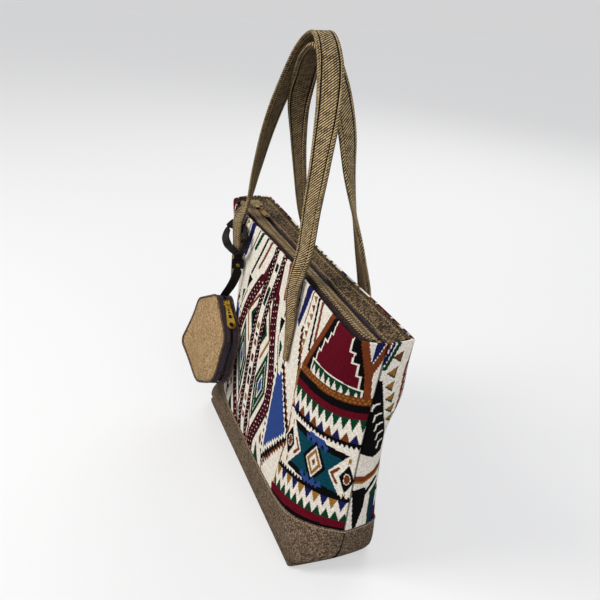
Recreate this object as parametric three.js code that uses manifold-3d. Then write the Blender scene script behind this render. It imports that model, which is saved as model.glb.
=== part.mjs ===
// A zip-top shoulder bag of woven cloth with a small hanging pouch.
// Millimetres, +Z up. The origin is the middle of the flat bottom, the front faces -Y.
import * as THREE from "three";
import Module from "manifold-3d";
import { mergeVertices } from "three/addons/utils/BufferGeometryUtils.js";

// Bag body
const BAG_HEIGHT = 286;
const TOP_LENGTH = 400;
const HIP_LENGTH = 356;
const BOTTOM_LENGTH = 316;
const TOP_DEPTH = 56;
const BOTTOM_DEPTH = 98;
const BASE_BAND = 41;
const BASE_END_RISE = 15;
const BACK_BULGE = 4;
const RIM_DRAW = 4;

// Cloth thicknesses and the clearance between pieces that lie on each other
const PANEL_THICKNESS = 1.6;
const BASE_THICKNESS = 1.6;
const FACING_THICKNESS = 1.2;
const LINING_THICKNESS = 0.8;
const LINING_SLACK = 2.2;
const CLEARANCE = 0.3;

// How square the bag's corners are: the power of the curve from the middle to a side seam
const FOOT_CORNER = 120;
const FRONT_RIM_CORNER = 34;
const BACK_RIM_CORNER = 180;
const FRONT_WAIST_CORNER = 4.6;
const BACK_WAIST_CORNER = 16;
const FRONT_FOOT_FADE = 9.5;
const BACK_FOOT_FADE = 21;
const HIP_FADE = 18;

// Facing and zip closure inside the rim
const FACING_DEPTH = 46;
const ZIP_SINK = 4;
const ZIP_DROP = 22;
const ZIP_OPENING = 6;
const STRIP_THICKNESS = 1.4;
const STRIP_CROWN = 2;
const STRIP_END_GAP = 12;
const FRONT_VALLEY_FAR = 5;
const FRONT_VALLEY_NEAR = 9.5;
const BACK_VALLEY = 4;
const TAPE_THICKNESS = 0.6;
const TAPE_WIDTH = 8;
const TOOTH_PITCH = 4;
const TOOTH_LENGTH = 2.2;
const TOOTH_HEIGHT = 2;
const TOOTH_SLOT = 1.2;
const SLIDER_LENGTH = 10;
const SLIDER_WIDTH = 8;
const SLIDER_PLATE = 1.2;
const SLIDER_PARKED = 50;
const CROWN_LENGTH = 6.4;
const CROWN_WIDTH = 3.2;
const EYE_RADIUS = 1;
const PULL_THICKNESS = 1.2;
const PULL_LENGTH = 26;
const PULL_TIP = 8;
const TAIL_TAB_LENGTH = 24;
const TAIL_TAB_WIDTH = 13;
const TAIL_TAB_THICKNESS = 3.2;

// Handles
const HANDLE_WIDTH = 26;
const HANDLE_THICKNESS = 4.5;
const HANDLE_RISE = 225;
const HANDLE_SEWN = 90;
const HANDLE_LIFT = 3;
const HANDLE_LIFT_FROM = 44;
const HANDLE_LIFT_TO = 20;
const FRONT_STRANDS = { near: 0.1375 * TOP_LENGTH, far: -0.3325 * TOP_LENGTH };
const BACK_STRANDS = { near: 0.21 * TOP_LENGTH, far: -0.1875 * TOP_LENGTH };

// Hanging pouch
const POUCH_RADIUS = 64;
const POUCH_CORNER = 16;
const POUCH_LOW_CORNER = 32;
const POUCH_GUSSET = 20;
const POUCH_CROWN = 5;
const POUCH_CLOTH = 1.6;
const POUCH_PIPING = 2.6;
const POUCH_TILT = 11;
const POUCH_TURN = 3;
const POUCH_SHIFT = -26;
const POUCH_CURL = 10;
const POUCH_CURL_FROM = 36;
const POUCH_DROP = 172;
const POUCH_PULL_LENGTH = 38;
const POUCH_PULL_TIP = 12;
const LOOP_WIDTH = 10;
const LOOP_THICKNESS = 1.5;
const LOOP_DROP = 16;
const LOOP_LENGTH = 34;
const LOOP_BOW = 13;
const LOOP_ASIDE = 13;
const KEEPER_HEIGHT = 10;
const KEEPER_WALL = 1.4;
const KEEPER_TURN = 75;
const TAB_WIDTH = 11;
const TAB_THICKNESS = 2.2;
const TAB_BOW = 2;
const RIVET_RADIUS = 2.6;

const FRONT = -1;
const BACK = 1;

const wasm = await Module();
wasm.setup();

const cloth = (color, roughness = 0.9) =>
  new THREE.MeshStandardMaterial({ color, roughness, metalness: 0 });
const metal = (color) =>
  new THREE.MeshStandardMaterial({ color, roughness: 0.3, metalness: 1 });
const finishes = {
  weave: cloth(0xe6dfd0),
  baseTwill: cloth(0x6b5a48),
  strapTwill: cloth(0x85704a),
  lining: cloth(0x2c2024),
  tape: cloth(0x2a1c28),
  teeth: cloth(0x241a22, 0.6),
  pouchTwill: cloth(0xa58860),
  piping: cloth(0x6d5a5c),
  leatherette: cloth(0x1b181a, 0.45),
  brass: metal(0xd6b84a),
};

// Points and triangles as a closed geometry, turned so that its faces point out.
function closedGeometry(points, triangles) {
  const normal = new THREE.Vector3();
  let volume = 0;
  for (const [a, b, c] of triangles) {
    volume += points[a].dot(normal.crossVectors(points[b], points[c]));
  }
  const faces = volume < 0 ? triangles.map(([a, b, c]) => [a, c, b]) : triangles;
  return new THREE.BufferGeometry().setFromPoints(points).setIndex(faces.flat());
}

// A sheet with a thickness, from the grid of its outer side and the grid of its inner side.
function sheetGeometry(outer, inner) {
  const rows = outer.length;
  const columns = outer[0].length;
  const points = [...outer.flat(), ...inner.flat()];
  const triangles = [];
  const out = (r, c) => r * columns + c;
  const inn = (r, c) => (rows + r) * columns + c;
  const quad = (a, b, c, d) => triangles.push([a, b, c], [a, c, d]);
  for (let r = 0; r + 1 < rows; r++) {
    for (let c = 0; c + 1 < columns; c++) {
      quad(out(r, c), out(r, c + 1), out(r + 1, c + 1), out(r + 1, c));
      quad(inn(r, c), inn(r + 1, c), inn(r + 1, c + 1), inn(r, c + 1));
    }
    quad(out(r, 0), out(r + 1, 0), inn(r + 1, 0), inn(r, 0));
    const last = columns - 1;
    quad(out(r, last), inn(r, last), inn(r + 1, last), out(r + 1, last));
  }
  for (let c = 0; c + 1 < columns; c++) {
    const last = rows - 1;
    quad(out(0, c), inn(0, c), inn(0, c + 1), out(0, c + 1));
    quad(out(last, c), out(last, c + 1), inn(last, c + 1), inn(last, c));
  }
  return closedGeometry(points, triangles);
}

// A skin through rings of equally many points. It closes on itself, or with a fan at each end.
function loftGeometry(rings, endless = false) {
  const count = rings[0].length;
  const points = rings.flat();
  const triangles = [];
  const at = (r, i) => (r % rings.length) * count + (i % count);
  const spans = endless ? rings.length : rings.length - 1;
  for (let r = 0; r < spans; r++) {
    for (let i = 0; i < count; i++) {
      triangles.push([at(r, i), at(r, i + 1), at(r + 1, i + 1)]);
      triangles.push([at(r, i), at(r + 1, i + 1), at(r + 1, i)]);
    }
  }
  if (!endless) {
    const fan = (r, flip) => {
      const middle = new THREE.Vector3();
      rings[r].forEach((p) => middle.addScaledVector(p, 1 / count));
      points.push(middle);
      const tip = points.length - 1;
      for (let i = 0; i < count; i++) {
        triangles.push(flip ? [tip, at(r, i + 1), at(r, i)] : [tip, at(r, i), at(r, i + 1)]);
      }
    };
    fan(0, true);
    fan(rings.length - 1, false);
  }
  return closedGeometry(points, triangles);
}

// A flat plate of an outline in X and Y, with its mid-plane at z = 0.
function plateGeometry(shape, thickness) {
  const geometry = new THREE.ExtrudeGeometry(shape, {
    depth: thickness,
    bevelEnabled: false,
    curveSegments: 6,
  });
  return geometry.translate(0, 0, -thickness / 2);
}

function toSolid(geometry) {
  const bare = geometry.clone();
  bare.deleteAttribute("normal");
  bare.deleteAttribute("uv");
  const merged = mergeVertices(bare, 1e-3);
  const mesh = new wasm.Mesh({
    numProp: 3,
    vertProperties: merged.attributes.position.array,
    triVerts: new Uint32Array(merged.index.array),
  });
  return new wasm.Manifold(mesh);
}

// Several closed geometries joined to one piece.
function joined(geometries) {
  const solid = geometries.map(toSolid).reduce((whole, part) => whole.add(part));
  const mesh = solid.getMesh();
  const geometry = new THREE.BufferGeometry();
  geometry.setAttribute("position", new THREE.BufferAttribute(mesh.vertProperties, 3));
  geometry.setIndex(new THREE.BufferAttribute(mesh.triVerts, 1));
  return geometry;
}

const bag = new THREE.Group();

function addPiece(parent, name, geometry, material) {
  const mesh = new THREE.Mesh(geometry, material);
  mesh.name = name;
  parent.add(mesh);
  return mesh;
}

const { lerp, smoothstep, degToRad } = THREE.MathUtils;
const range = (count) => Array.from({ length: count }, (_, i) => i);

// The bag's wall. Each level is a curve y = depth (1 - |x / reach|^power) on either side of the
// side seams: square at the foot and rim, and drawn to a soft nose between them.
function seamReach(z) {
  const hip = ((HIP_LENGTH - BOTTOM_LENGTH) / 2) * (1 - Math.exp(-z / HIP_FADE));
  const above = Math.max(0, (z - BASE_BAND - BASE_END_RISE) / (BAG_HEIGHT - BASE_BAND - BASE_END_RISE));
  return BOTTOM_LENGTH / 2 + hip + ((TOP_LENGTH - HIP_LENGTH) / 2) * above ** 1.8;
}

function cornerPower(side, z) {
  const waist = side === FRONT ? FRONT_WAIST_CORNER : BACK_WAIST_CORNER;
  const fade = side === FRONT ? FRONT_FOOT_FADE : BACK_FOOT_FADE;
  const [rim, start, rise] = side === FRONT ? [FRONT_RIM_CORNER, 0.66, 2.5] : [BACK_RIM_CORNER, 0.55, 2];
  const upper = Math.max(0, (z / BAG_HEIGHT - start) / (1 - start)) ** rise;
  return waist + (FOOT_CORNER - waist) * Math.exp(-z / fade) + (rim - waist) * upper;
}

function wallDepth(side, z) {
  const level = z / BAG_HEIGHT;
  const bulge = side === BACK ? BACK_BULGE * Math.sin(Math.PI * smoothstep(level, 0.5, 1)) ** 2 : 0;
  return lerp(BOTTOM_DEPTH, TOP_DEPTH, level) / 2 + bulge;
}

function wallPoint(side, share, z, inset, seamGap = 0) {
  const bow = 1 - Math.abs(share) ** cornerPower(side, z);
  const draw = RIM_DRAW * smoothstep(z / BAG_HEIGHT, 0.6, 1) * (1 - share * share) ** 3;
  const y = (wallDepth(side, z) - inset) * bow - draw + seamGap;
  return new THREE.Vector3((seamReach(z) - inset) * share, side * y, z);
}

// How far the wall stands from the bag's middle plane at a place along its length.
const depthAt = (side, x, z, inset) =>
  Math.abs(wallPoint(side, x / (seamReach(z) - inset), z, inset).y);

// Shares of the way from the middle to the side seam, closer together towards the seam.
const HALF_COLUMNS = 12;
const wallShares = range(2 * HALF_COLUMNS + 1).map((i) => {
  const t = i / HALF_COLUMNS - 1;
  return Math.sign(t) * (1 - (1 - Math.abs(t)) ** 2);
});
const baseTop = (share) => BASE_BAND + BASE_END_RISE * Math.abs(share) ** 3;

// Levels of the wall from the foot to the rim, each a height that may change along the wall.
// Pieces that lie on each other share them, so that they stay parallel.
const facingFoot = BAG_HEIGHT - FACING_DEPTH;
const BASE_LEVELS = [0, 0.08, 0.2, 0.4, 0.68, 1];
const PANEL_LEVELS = [0, 0.06, 0.15, 0.28, 0.42, 0.58, 0.78, 1];
const FACING_LEVELS = [0, 0.35, 0.7, 1];
const baseLevels = (floor) =>
  BASE_LEVELS.map((level) => (share) => lerp(floor, baseTop(share), level));
const panelLevels = PANEL_LEVELS.map(
  (level) => (share) => lerp(baseTop(share) + CLEARANCE, facingFoot, level),
);
const facingLevels = FACING_LEVELS.map(
  (level) => () => lerp(facingFoot + CLEARANCE, BAG_HEIGHT, level),
);

function wallSheet(side, inset, thickness, levels) {
  const grid = (depth) =>
    levels.map((level) =>
      wallShares.map((share) => wallPoint(side, share, level(share), depth, CLEARANCE / 2)),
    );
  return sheetGeometry(grid(inset), grid(inset + thickness));
}

const ringShares = [
  ...wallShares.map((share) => [FRONT, share]),
  ...wallShares.slice(1, -1).reverse().map((share) => [BACK, share]),
];

// A tub of the wall's form with a flat floor, open at the top.
function tubGeometry(inset, thickness, floor, levelsAbove) {
  const rings = (depth, bottom) =>
    [...baseLevels(bottom), ...levelsAbove].map((level) =>
      ringShares.map(([side, share]) => wallPoint(side, share, level(share), depth)),
    );
  const outside = rings(inset, floor);
  const inside = rings(inset + thickness, floor + thickness);
  return loftGeometry([...outside, ...inside.reverse()]);
}

const facingInset = PANEL_THICKNESS + CLEARANCE;
const facingInside = facingInset + FACING_THICKNESS;
for (const [side, word] of [[FRONT, "front"], [BACK, "back"]]) {
  const wholeHeight = [...panelLevels, ...facingLevels.slice(1)];
  const panel = wallSheet(side, 0, PANEL_THICKNESS, wholeHeight);
  addPiece(bag, `${word}_panel`, panel, finishes.weave);
  const facing = wallSheet(side, facingInset, FACING_THICKNESS, facingLevels);
  addPiece(bag, `${word}_facing`, facing, finishes.strapTwill);
}

addPiece(bag, "base", tubGeometry(0, BASE_THICKNESS, 0, []), finishes.baseTwill);
const liningInset = Math.max(PANEL_THICKNESS, BASE_THICKNESS) + LINING_SLACK;
const liningFloor = BASE_THICKNESS + CLEARANCE;
const lining = tubGeometry(liningInset, LINING_THICKNESS, liningFloor, panelLevels.slice(1));
addPiece(bag, "lining", lining, finishes.lining);

// The zip closure: two folded strips that leave a narrow opening, each sewn to its facing below,
// and under them two tapes whose teeth meet along the middle.
const stripTop = BAG_HEIGHT - ZIP_SINK;
const stripUnder = stripTop - STRIP_THICKNESS;
const sliderTop = stripUnder - CLEARANCE;
const chainLevel = sliderTop - SLIDER_PLATE - CLEARANCE - TOOTH_HEIGHT / 2;
const zipEnd = TOP_LENGTH / 2 - facingInside - STRIP_END_GAP;
const STRIP_COLUMNS = 24;
const stripPlaces = range(STRIP_COLUMNS + 1).map((i) => lerp(-zipEnd, zipEnd, i / STRIP_COLUMNS));

function zipStrip(side) {
  const frontValley = (x) => lerp(FRONT_VALLEY_FAR, FRONT_VALLEY_NEAR, (x + zipEnd) / (2 * zipEnd));
  const valley = (x) => (side === FRONT ? frontValley(x) : BACK_VALLEY);
  const foot = BAG_HEIGHT - ZIP_DROP;
  const grid = (thin) => {
    const fold = (x) => depthAt(side, x, stripTop, facingInside) - valley(x) - thin;
    const seam = (x) => depthAt(side, x, foot, facingInside) - 3 * CLEARANCE - thin;
    return [
      stripPlaces.map((x) => new THREE.Vector3(x, (side * ZIP_OPENING) / 2, stripTop - thin)),
      stripPlaces.map((x) => new THREE.Vector3(x, side * fold(x), stripTop + STRIP_CROWN - thin)),
      stripPlaces.map((x) => new THREE.Vector3(x, side * seam(x), foot)),
    ];
  };
  return sheetGeometry(grid(0), grid(STRIP_THICKNESS));
}

// A row of teeth on one side of a zip, cut like a comb: it starts at x = 0 and its tips face y = 0.
const toothTip = TOOTH_SLOT / 2;
const toothRoot = toothTip + TOOTH_LENGTH * 0.7;
const combBack = toothTip + TOOTH_LENGTH;
const tapeInnerEdge = toothRoot;

function toothComb(side, count) {
  const stagger = side === FRONT ? 0 : TOOTH_PITCH / 2;
  const half = TOOTH_PITCH / 4 - CLEARANCE / 2;
  const comb = new THREE.Shape();
  comb.moveTo(0, side * combBack);
  comb.lineTo(0, side * toothRoot);
  for (const i of range(count)) {
    const middle = stagger + (i + 0.5) * TOOTH_PITCH;
    comb.lineTo(middle - half, side * toothRoot);
    comb.lineTo(middle - half, side * toothTip);
    comb.lineTo(middle + half, side * toothTip);
    comb.lineTo(middle + half, side * toothRoot);
  }
  const length = (count + 1) * TOOTH_PITCH;
  comb.lineTo(length, side * toothRoot);
  comb.lineTo(length, side * combBack);
  return plateGeometry(comb, TOOTH_HEIGHT);
}

function zipTape(side) {
  const knee = SLIDER_WIDTH / 2 + 2 * CLEARANCE;
  const shoulder = knee + 2;
  const sewn = stripUnder - CLEARANCE - TAPE_THICKNESS / 2;
  const profile = [
    [tapeInnerEdge, chainLevel],
    [knee, chainLevel],
    [shoulder, sewn],
    [tapeInnerEdge + TAPE_WIDTH, sewn],
  ];
  const grid = (offset) =>
    profile.map(([y, z]) =>
      [-zipEnd, zipEnd].map((x) => new THREE.Vector3(x, side * y, z + offset)),
    );
  const tape = sheetGeometry(grid(TAPE_THICKNESS / 2), grid(-TAPE_THICKNESS / 2));
  const count = Math.floor((2 * zipEnd) / TOOTH_PITCH) - 3;
  const comb = toothComb(side, count).translate(-zipEnd + TOOTH_PITCH / 2, 0, chainLevel);
  return joined([tape, comb]);
}

for (const [side, word] of [[FRONT, "front"], [BACK, "back"]]) {
  addPiece(bag, `${word}_zip_strip`, zipStrip(side), finishes.strapTwill);
  addPiece(bag, `${word}_zip_tape`, zipTape(side), finishes.tape);
}

// A zip slider in its own frame: x along the zip, z out of it, the teeth's middle at the origin.
// Two plates hold the teeth between them, joined by a web, and a crown carries the pull.
const sliderPlateLevel = TOOTH_HEIGHT / 2 + CLEARANCE + SLIDER_PLATE / 2;

function sliderGeometry(crownBase) {
  const plate = new THREE.Shape();
  const narrow = SLIDER_WIDTH * 0.36;
  plate.moveTo(-SLIDER_LENGTH / 2, -SLIDER_WIDTH / 2);
  plate.lineTo(0, -SLIDER_WIDTH / 2);
  plate.lineTo(SLIDER_LENGTH / 2, -narrow);
  plate.lineTo(SLIDER_LENGTH / 2, narrow);
  plate.lineTo(0, SLIDER_WIDTH / 2);
  plate.lineTo(-SLIDER_LENGTH / 2, SLIDER_WIDTH / 2);
  const upper = plateGeometry(plate, SLIDER_PLATE).translate(0, 0, sliderPlateLevel);
  const lower = plateGeometry(plate, SLIDER_PLATE).translate(0, 0, -sliderPlateLevel);
  const webWidth = TOOTH_SLOT - 2 * CLEARANCE;
  const web = new THREE.BoxGeometry(SLIDER_LENGTH * 0.8, webWidth, 2 * sliderPlateLevel);
  const foot = sliderPlateLevel;
  const eye = crownBase + EYE_RADIUS;
  const crown = new THREE.Shape();
  crown.moveTo(-CROWN_LENGTH / 2, foot);
  crown.lineTo(CROWN_LENGTH / 2, foot);
  crown.lineTo(CROWN_LENGTH / 2, eye);
  crown.absarc(0, eye, CROWN_LENGTH / 2, 0, Math.PI);
  const hole = new THREE.Path().absarc(0, eye, EYE_RADIUS, 0, 2 * Math.PI);
  crown.holes.push(hole);
  const arch = plateGeometry(crown, CROWN_WIDTH).rotateX(Math.PI / 2);
  return joined([upper, lower, web, arch]);
}

// A pull in its own frame: it turns about the y axis at the origin and lies along +x.
// A bar at its root runs through the slider's eye, and two arms pass the crown.
function pullGeometry(length, tipWidth, cutouts) {
  const bar = (EYE_RADIUS - CLEARANCE) / Math.SQRT2;
  const armInside = CROWN_WIDTH / 2 + CLEARANCE;
  const rootWidth = armInside + 1.3;
  const windowEnd = CROWN_LENGTH / 2 + EYE_RADIUS + 1;
  const outline = new THREE.Shape();
  outline.moveTo(-bar, -rootWidth);
  outline.lineTo(windowEnd, -rootWidth);
  outline.lineTo(length - tipWidth / 2, -tipWidth / 2);
  outline.absarc(length - tipWidth / 2, 0, tipWidth / 2, -Math.PI / 2, Math.PI / 2);
  outline.lineTo(windowEnd, rootWidth);
  outline.lineTo(-bar, rootWidth);
  const slot = (x0, x1, half) => {
    const path = new THREE.Path();
    path.moveTo(x0, -half);
    path.lineTo(x0, half);
    path.lineTo(x1, half);
    path.lineTo(x1, -half);
    return path;
  };
  outline.holes.push(slot(bar, windowEnd, armInside));
  for (const [x0, x1, half] of cutouts) outline.holes.push(slot(x0, x1, half));
  const hole = new THREE.Path().absarc(length - tipWidth / 2, 0, tipWidth * 0.27, 0, 2 * Math.PI);
  outline.holes.push(hole);
  return plateGeometry(outline, Math.min(PULL_THICKNESS, 2 * bar));
}

const sliderPlace = new THREE.Group();
sliderPlace.position.set(-TOP_LENGTH / 2 + SLIDER_PARKED, 0, chainLevel);
bag.add(sliderPlace);
const mainCrownBase = stripTop + 1 - chainLevel;
addPiece(sliderPlace, "zip_slider", sliderGeometry(mainCrownBase), finishes.brass);
const mainPull = addPiece(sliderPlace, "zip_pull", pullGeometry(PULL_LENGTH, PULL_TIP, []), finishes.brass);
mainPull.position.z = mainCrownBase + EYE_RADIUS;

// The folded twill tab over the parked end of the zip.
const tabOutline = new THREE.Shape();
const tabRadius = TAIL_TAB_THICKNESS / 2;
tabOutline.moveTo(tabRadius, -tabRadius);
tabOutline.lineTo(TAIL_TAB_LENGTH, -tabRadius);
tabOutline.lineTo(TAIL_TAB_LENGTH, tabRadius);
tabOutline.lineTo(tabRadius, tabRadius);
tabOutline.absarc(tabRadius, 0, tabRadius, Math.PI / 2, (3 * Math.PI) / 2);
const tailTab = plateGeometry(tabOutline, TAIL_TAB_WIDTH).rotateX(Math.PI / 2);
const tailTabStart = sliderPlace.position.x - SLIDER_LENGTH / 2 - CROWN_LENGTH / 2 - TAIL_TAB_LENGTH;
const tailTabLevel = stripTop + STRIP_CROWN / 2 + CLEARANCE + tabRadius;
tailTab.translate(tailTabStart, 0, tailTabLevel);
addPiece(bag, "zip_tail_tab", tailTab, finishes.strapTwill);

// The stop that ends the rows of teeth at the other end: it lies on the two tapes.
const stopLength = TOOTH_PITCH;
const stopHeight = TOOTH_HEIGHT / 2;
const endStop = new THREE.BoxGeometry(stopLength, 2 * TOOTH_LENGTH + TOOTH_SLOT, stopHeight);
const stopLevel = chainLevel + TAPE_THICKNESS / 2 + CLEARANCE + stopHeight / 2;
endStop.translate(zipEnd - stopLength / 2, 0, stopLevel);

addPiece(bag, "zip_end_stop", endStop, finishes.brass);

// A flat strap along a curve. Each place gives its middle and the direction of its width.
const STRAP_BEVEL = 0.22;

function strapGeometry(middles, widths, width, thickness, stations, breadth = () => 1) {
  const path = new THREE.CatmullRomCurve3(middles);
  const turns = new THREE.CatmullRomCurve3(widths);
  const bevel = thickness * STRAP_BEVEL;
  const w = width / 2;
  const t = thickness / 2;
  const corners = [[w - bevel, -t], [w, bevel - t], [w, t - bevel], [w - bevel, t]];
  const section = [...corners, ...corners.map(([across, out]) => [-across, -out])];
  const rings = range(stations + 1).map((i) => {
    const share = i / stations;
    const middle = path.getPoint(share);
    const along = path.getTangent(share);
    const across = turns.getPoint(share);
    across.addScaledVector(along, -across.dot(along)).normalize();
    const outward = new THREE.Vector3().crossVectors(across, along);
    across.multiplyScalar(breadth(middle));
    return section.map(([a, o]) =>
      middle.clone().addScaledVector(across, a).addScaledVector(outward, o),
    );
  });
  return loftGeometry(rings);
}

const headingAt = (degrees) =>
  new THREE.Vector3(Math.cos(degToRad(degrees)), Math.sin(degToRad(degrees)), 0);

// Each handle is sewn flat on its panel at both ends and stands up over the rim in a soft loop.
// A place on the loop: share of the way from the near strand to the far one, lean towards its
// own panel, height over the rim as a share of the rise, and heading of the width in degrees.
const FRONT_LOOP = [
  [-0.027, 0.96, 0.116, 8],
  [0.022, 0.71, 0.306, 14],
  [0.062, 0.45, 0.54, 26],
  [0.12, 0.22, 0.763, 52],
  [0.22, 0.09, 0.922, 85],
  [0.366, 0.02, 0.997, 105],
  [0.538, 0.1, 0.934, 115],
  [0.714, 0.3, 0.731, 118],
  [0.869, 0.47, 0.497, 127],
  [0.942, 0.7, 0.252, 141],
  [0.973, 0.93, 0.05, 160],
];
const BACK_LOOP = [
  [0.026, 0.86, 0.142, 172],
  [0.138, 0.75, 0.298, 157],
  [0.204, 0.56, 0.459, 136],
  [0.294, 0.48, 0.64, 117],
  [0.435, 0.31, 0.82, 108],
  [0.573, -0.04, 0.949, 105],
  [0.721, -0.07, 0.902, 98],
  [0.881, 0.11, 0.793, 82],
  [1, 0.23, 0.648, 45],
  [1.052, 0.47, 0.476, 20],
  [1.051, 0.7, 0.286, 9],
  [1.013, 0.89, 0.106, 3],
];
const HANDLE_STATIONS = 64;
const SEWN_PLACES = [1, 0.75, 0.5, 0.25, 0.07];

// The strap's middle on the panel: sewn close below, standing off a little under the rim.
const handleOffset = (z) =>
  HANDLE_THICKNESS / 2 +
  2 * CLEARANCE +
  HANDLE_LIFT * smoothstep(z, BAG_HEIGHT - HANDLE_LIFT_FROM, BAG_HEIGHT - HANDLE_LIFT_TO);

function handleGeometry(side, strands, loop) {
  const onPanel = (x) =>
    SEWN_PLACES.map((place) => {
      const z = BAG_HEIGHT - HANDLE_SEWN * place;
      const breadth = [x - HANDLE_WIDTH / 2, x, x + HANDLE_WIDTH / 2];
      const depth = Math.max(...breadth.map((edge) => depthAt(side, edge, z, 0)));
      return new THREE.Vector3(x, side * (depth + handleOffset(z)), z);
    });
  const [startTurn, endTurn] = side === FRONT ? [0, 180] : [180, 0];
  const nearSide = onPanel(strands.near);
  const farSide = onPanel(strands.far).reverse();
  const over = loop.map(
    ([way, lean, rise]) =>
      new THREE.Vector3(
        lerp(strands.near, strands.far, way),
        side * lean * (TOP_DEPTH / 2),
        BAG_HEIGHT + rise * HANDLE_RISE,
      ),
  );
  const turns = [
    ...nearSide.map(() => headingAt(startTurn)),
    ...loop.map((place) => headingAt(place[3])),
    ...farSide.map(() => headingAt(endTurn)),
  ];
  const middles = [...nearSide, ...over, ...farSide];
  return strapGeometry(middles, turns, HANDLE_WIDTH, HANDLE_THICKNESS, HANDLE_STATIONS);
}

addPiece(bag, "front_handle", handleGeometry(FRONT, FRONT_STRANDS, FRONT_LOOP), finishes.strapTwill);
addPiece(bag, "back_handle", handleGeometry(BACK, BACK_STRANDS, BACK_LOOP), finishes.strapTwill);

// The pouch in its own frame: a hexagon with a corner at the top, seen along y, front towards -y.
// A point of its outline, from the top corner clockwise as seen from the front, with rounded corners.
const SIDES = 6;
const pouchSide = POUCH_RADIUS;
const cornerCut = POUCH_CORNER * Math.tan(Math.PI / SIDES);
const straightSide = pouchSide - 2 * cornerCut;
const cornerReach = POUCH_RADIUS - POUCH_CORNER * (1 / Math.cos(Math.PI / SIDES) - 1);

// The outline's place and outward direction on one corner (steps of its arc) or its end.
const CORNER_STEPS = 4;
// The lower right and the bottom corner are rounder than the rest.
const LOW_CORNERS = [2, 3];

function pouchCorner(index, step) {
  const towards = Math.PI / 2 - (index * 2 * Math.PI) / SIDES;
  const radius = LOW_CORNERS.includes(index % SIDES) ? POUCH_LOW_CORNER : POUCH_CORNER;
  const centre = POUCH_RADIUS - radius / Math.cos(Math.PI / SIDES);
  const turn = towards + (Math.PI / SIDES) * (1 - (2 * step) / CORNER_STEPS);
  const outward = new THREE.Vector3(Math.cos(turn), 0, Math.sin(turn));
  const middle = new THREE.Vector3(Math.cos(towards), 0, Math.sin(towards));
  return { place: middle.multiplyScalar(centre).addScaledVector(outward, radius), outward };
}

const pouchOutline = range(SIDES).flatMap((index) =>
  range(CORNER_STEPS + 1).map((step) => pouchCorner(index, step)),
);

const pouch = new THREE.Group();
bag.add(pouch);

// A face of the pouch: a cloth panel that swells between its piped edges.
const FACE_RINGS = [0.28, 0.55, 0.78, 0.93, 1];
const sideReach = POUCH_RADIUS * Math.cos(Math.PI / SIDES);
const faceScale = 1 - (POUCH_PIPING / 2 + CLEARANCE) / sideReach;

function pouchFace(side) {
  const ring = (scale, depth) => {
    const swell = POUCH_CROWN * (1 - scale ** 2.4);
    return pouchOutline.map(({ place }) => {
      const point = place.clone().multiplyScalar(scale * faceScale);
      return point.setY(side * (POUCH_GUSSET / 2 + swell + depth));
    });
  };
  const outside = FACE_RINGS.map((scale) => ring(scale, POUCH_CLOTH / 2));
  const inside = FACE_RINGS.map((scale) => ring(scale, -POUCH_CLOTH / 2));
  return loftGeometry([...outside, ...inside.reverse()]);
}

// The piping: a cord all round the outline, between face and gusset.
const PIPING_SECTION = 8;

function pouchPiping(side) {
  const rings = pouchOutline.map(({ place, outward }) =>
    range(PIPING_SECTION).map((i) => {
      const turn = (i / PIPING_SECTION) * 2 * Math.PI;
      const point = place.clone().addScaledVector(outward, (Math.cos(turn) * POUCH_PIPING) / 2);
      point.y = side * (POUCH_GUSSET / 2 + (Math.sin(turn) * POUCH_PIPING) / 2);
      return point;
    }),
  );
  return loftGeometry(rings, true);
}

// A band on the outline between two corners' middles, from one depth to another.
function pouchBand(firstCorner, lastCorner, y0, y1, thickness) {
  const half = CORNER_STEPS / 2;
  const trail = range(lastCorner - firstCorner + 1).flatMap((i) => {
    const first = i === 0 ? half : 0;
    const last = firstCorner + i === lastCorner ? half : CORNER_STEPS;
    return range(last - first + 1).map((step) => pouchCorner(firstCorner + i, first + step));
  });
  const ends = [trail[0], trail[trail.length - 1]];
  const inward = [trail[1], trail[trail.length - 2]];
  ends.forEach((end, i) => {
    const along = inward[i].place.clone().sub(end.place).setLength(CLEARANCE / 2);
    end.place.add(along);
  });
  const grid = (offset) =>
    [y0, y1].map((y) =>
      trail.map(({ place, outward }) => place.clone().addScaledVector(outward, offset).setY(y)),
    );
  return sheetGeometry(grid(thickness / 2), grid(-thickness / 2));
}

const bandEdge = POUCH_GUSSET / 2 - POUCH_PIPING / 2 - CLEARANCE;
const BAND_THICKNESS = 1.2;
const gusset = pouchBand(3, 6, -bandEdge, bandEdge, BAND_THICKNESS);

// A tape of the pouch's zip, with a row of teeth on each straight side.
function pouchTape(side) {
  const tape = pouchBand(0, 3, side * tapeInnerEdge, side * bandEdge, BAND_THICKNESS);
  const count = Math.floor(straightSide / TOOTH_PITCH) - 1;
  const combs = range(SIDES / 2).map((index) => {
    const start = pouchCorner(index, CORNER_STEPS).place;
    const along = pouchCorner(index + 1, 0).place.sub(start);
    const comb = toothComb(side, count).rotateY(Math.atan2(-along.z, along.x));
    return comb.translate(start.x, 0, start.z);
  });
  return joined([tape, ...combs]);
}

// The pouch's lower corner away from the zip is soft, and curls forward.
const curlCorner = new THREE.Vector3(-Math.cos(Math.PI / SIDES), 0, -Math.sin(Math.PI / SIDES));

function curled(geometry) {
  const positions = geometry.attributes.position;
  for (const i of range(positions.count)) {
    const point = new THREE.Vector3().fromBufferAttribute(positions, i);
    const past = (point.dot(curlCorner) - POUCH_CURL_FROM) / (POUCH_RADIUS - POUCH_CURL_FROM);
    positions.setY(i, point.y - POUCH_CURL * Math.max(0, past) ** 1.5);
  }
  return geometry;
}

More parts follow.
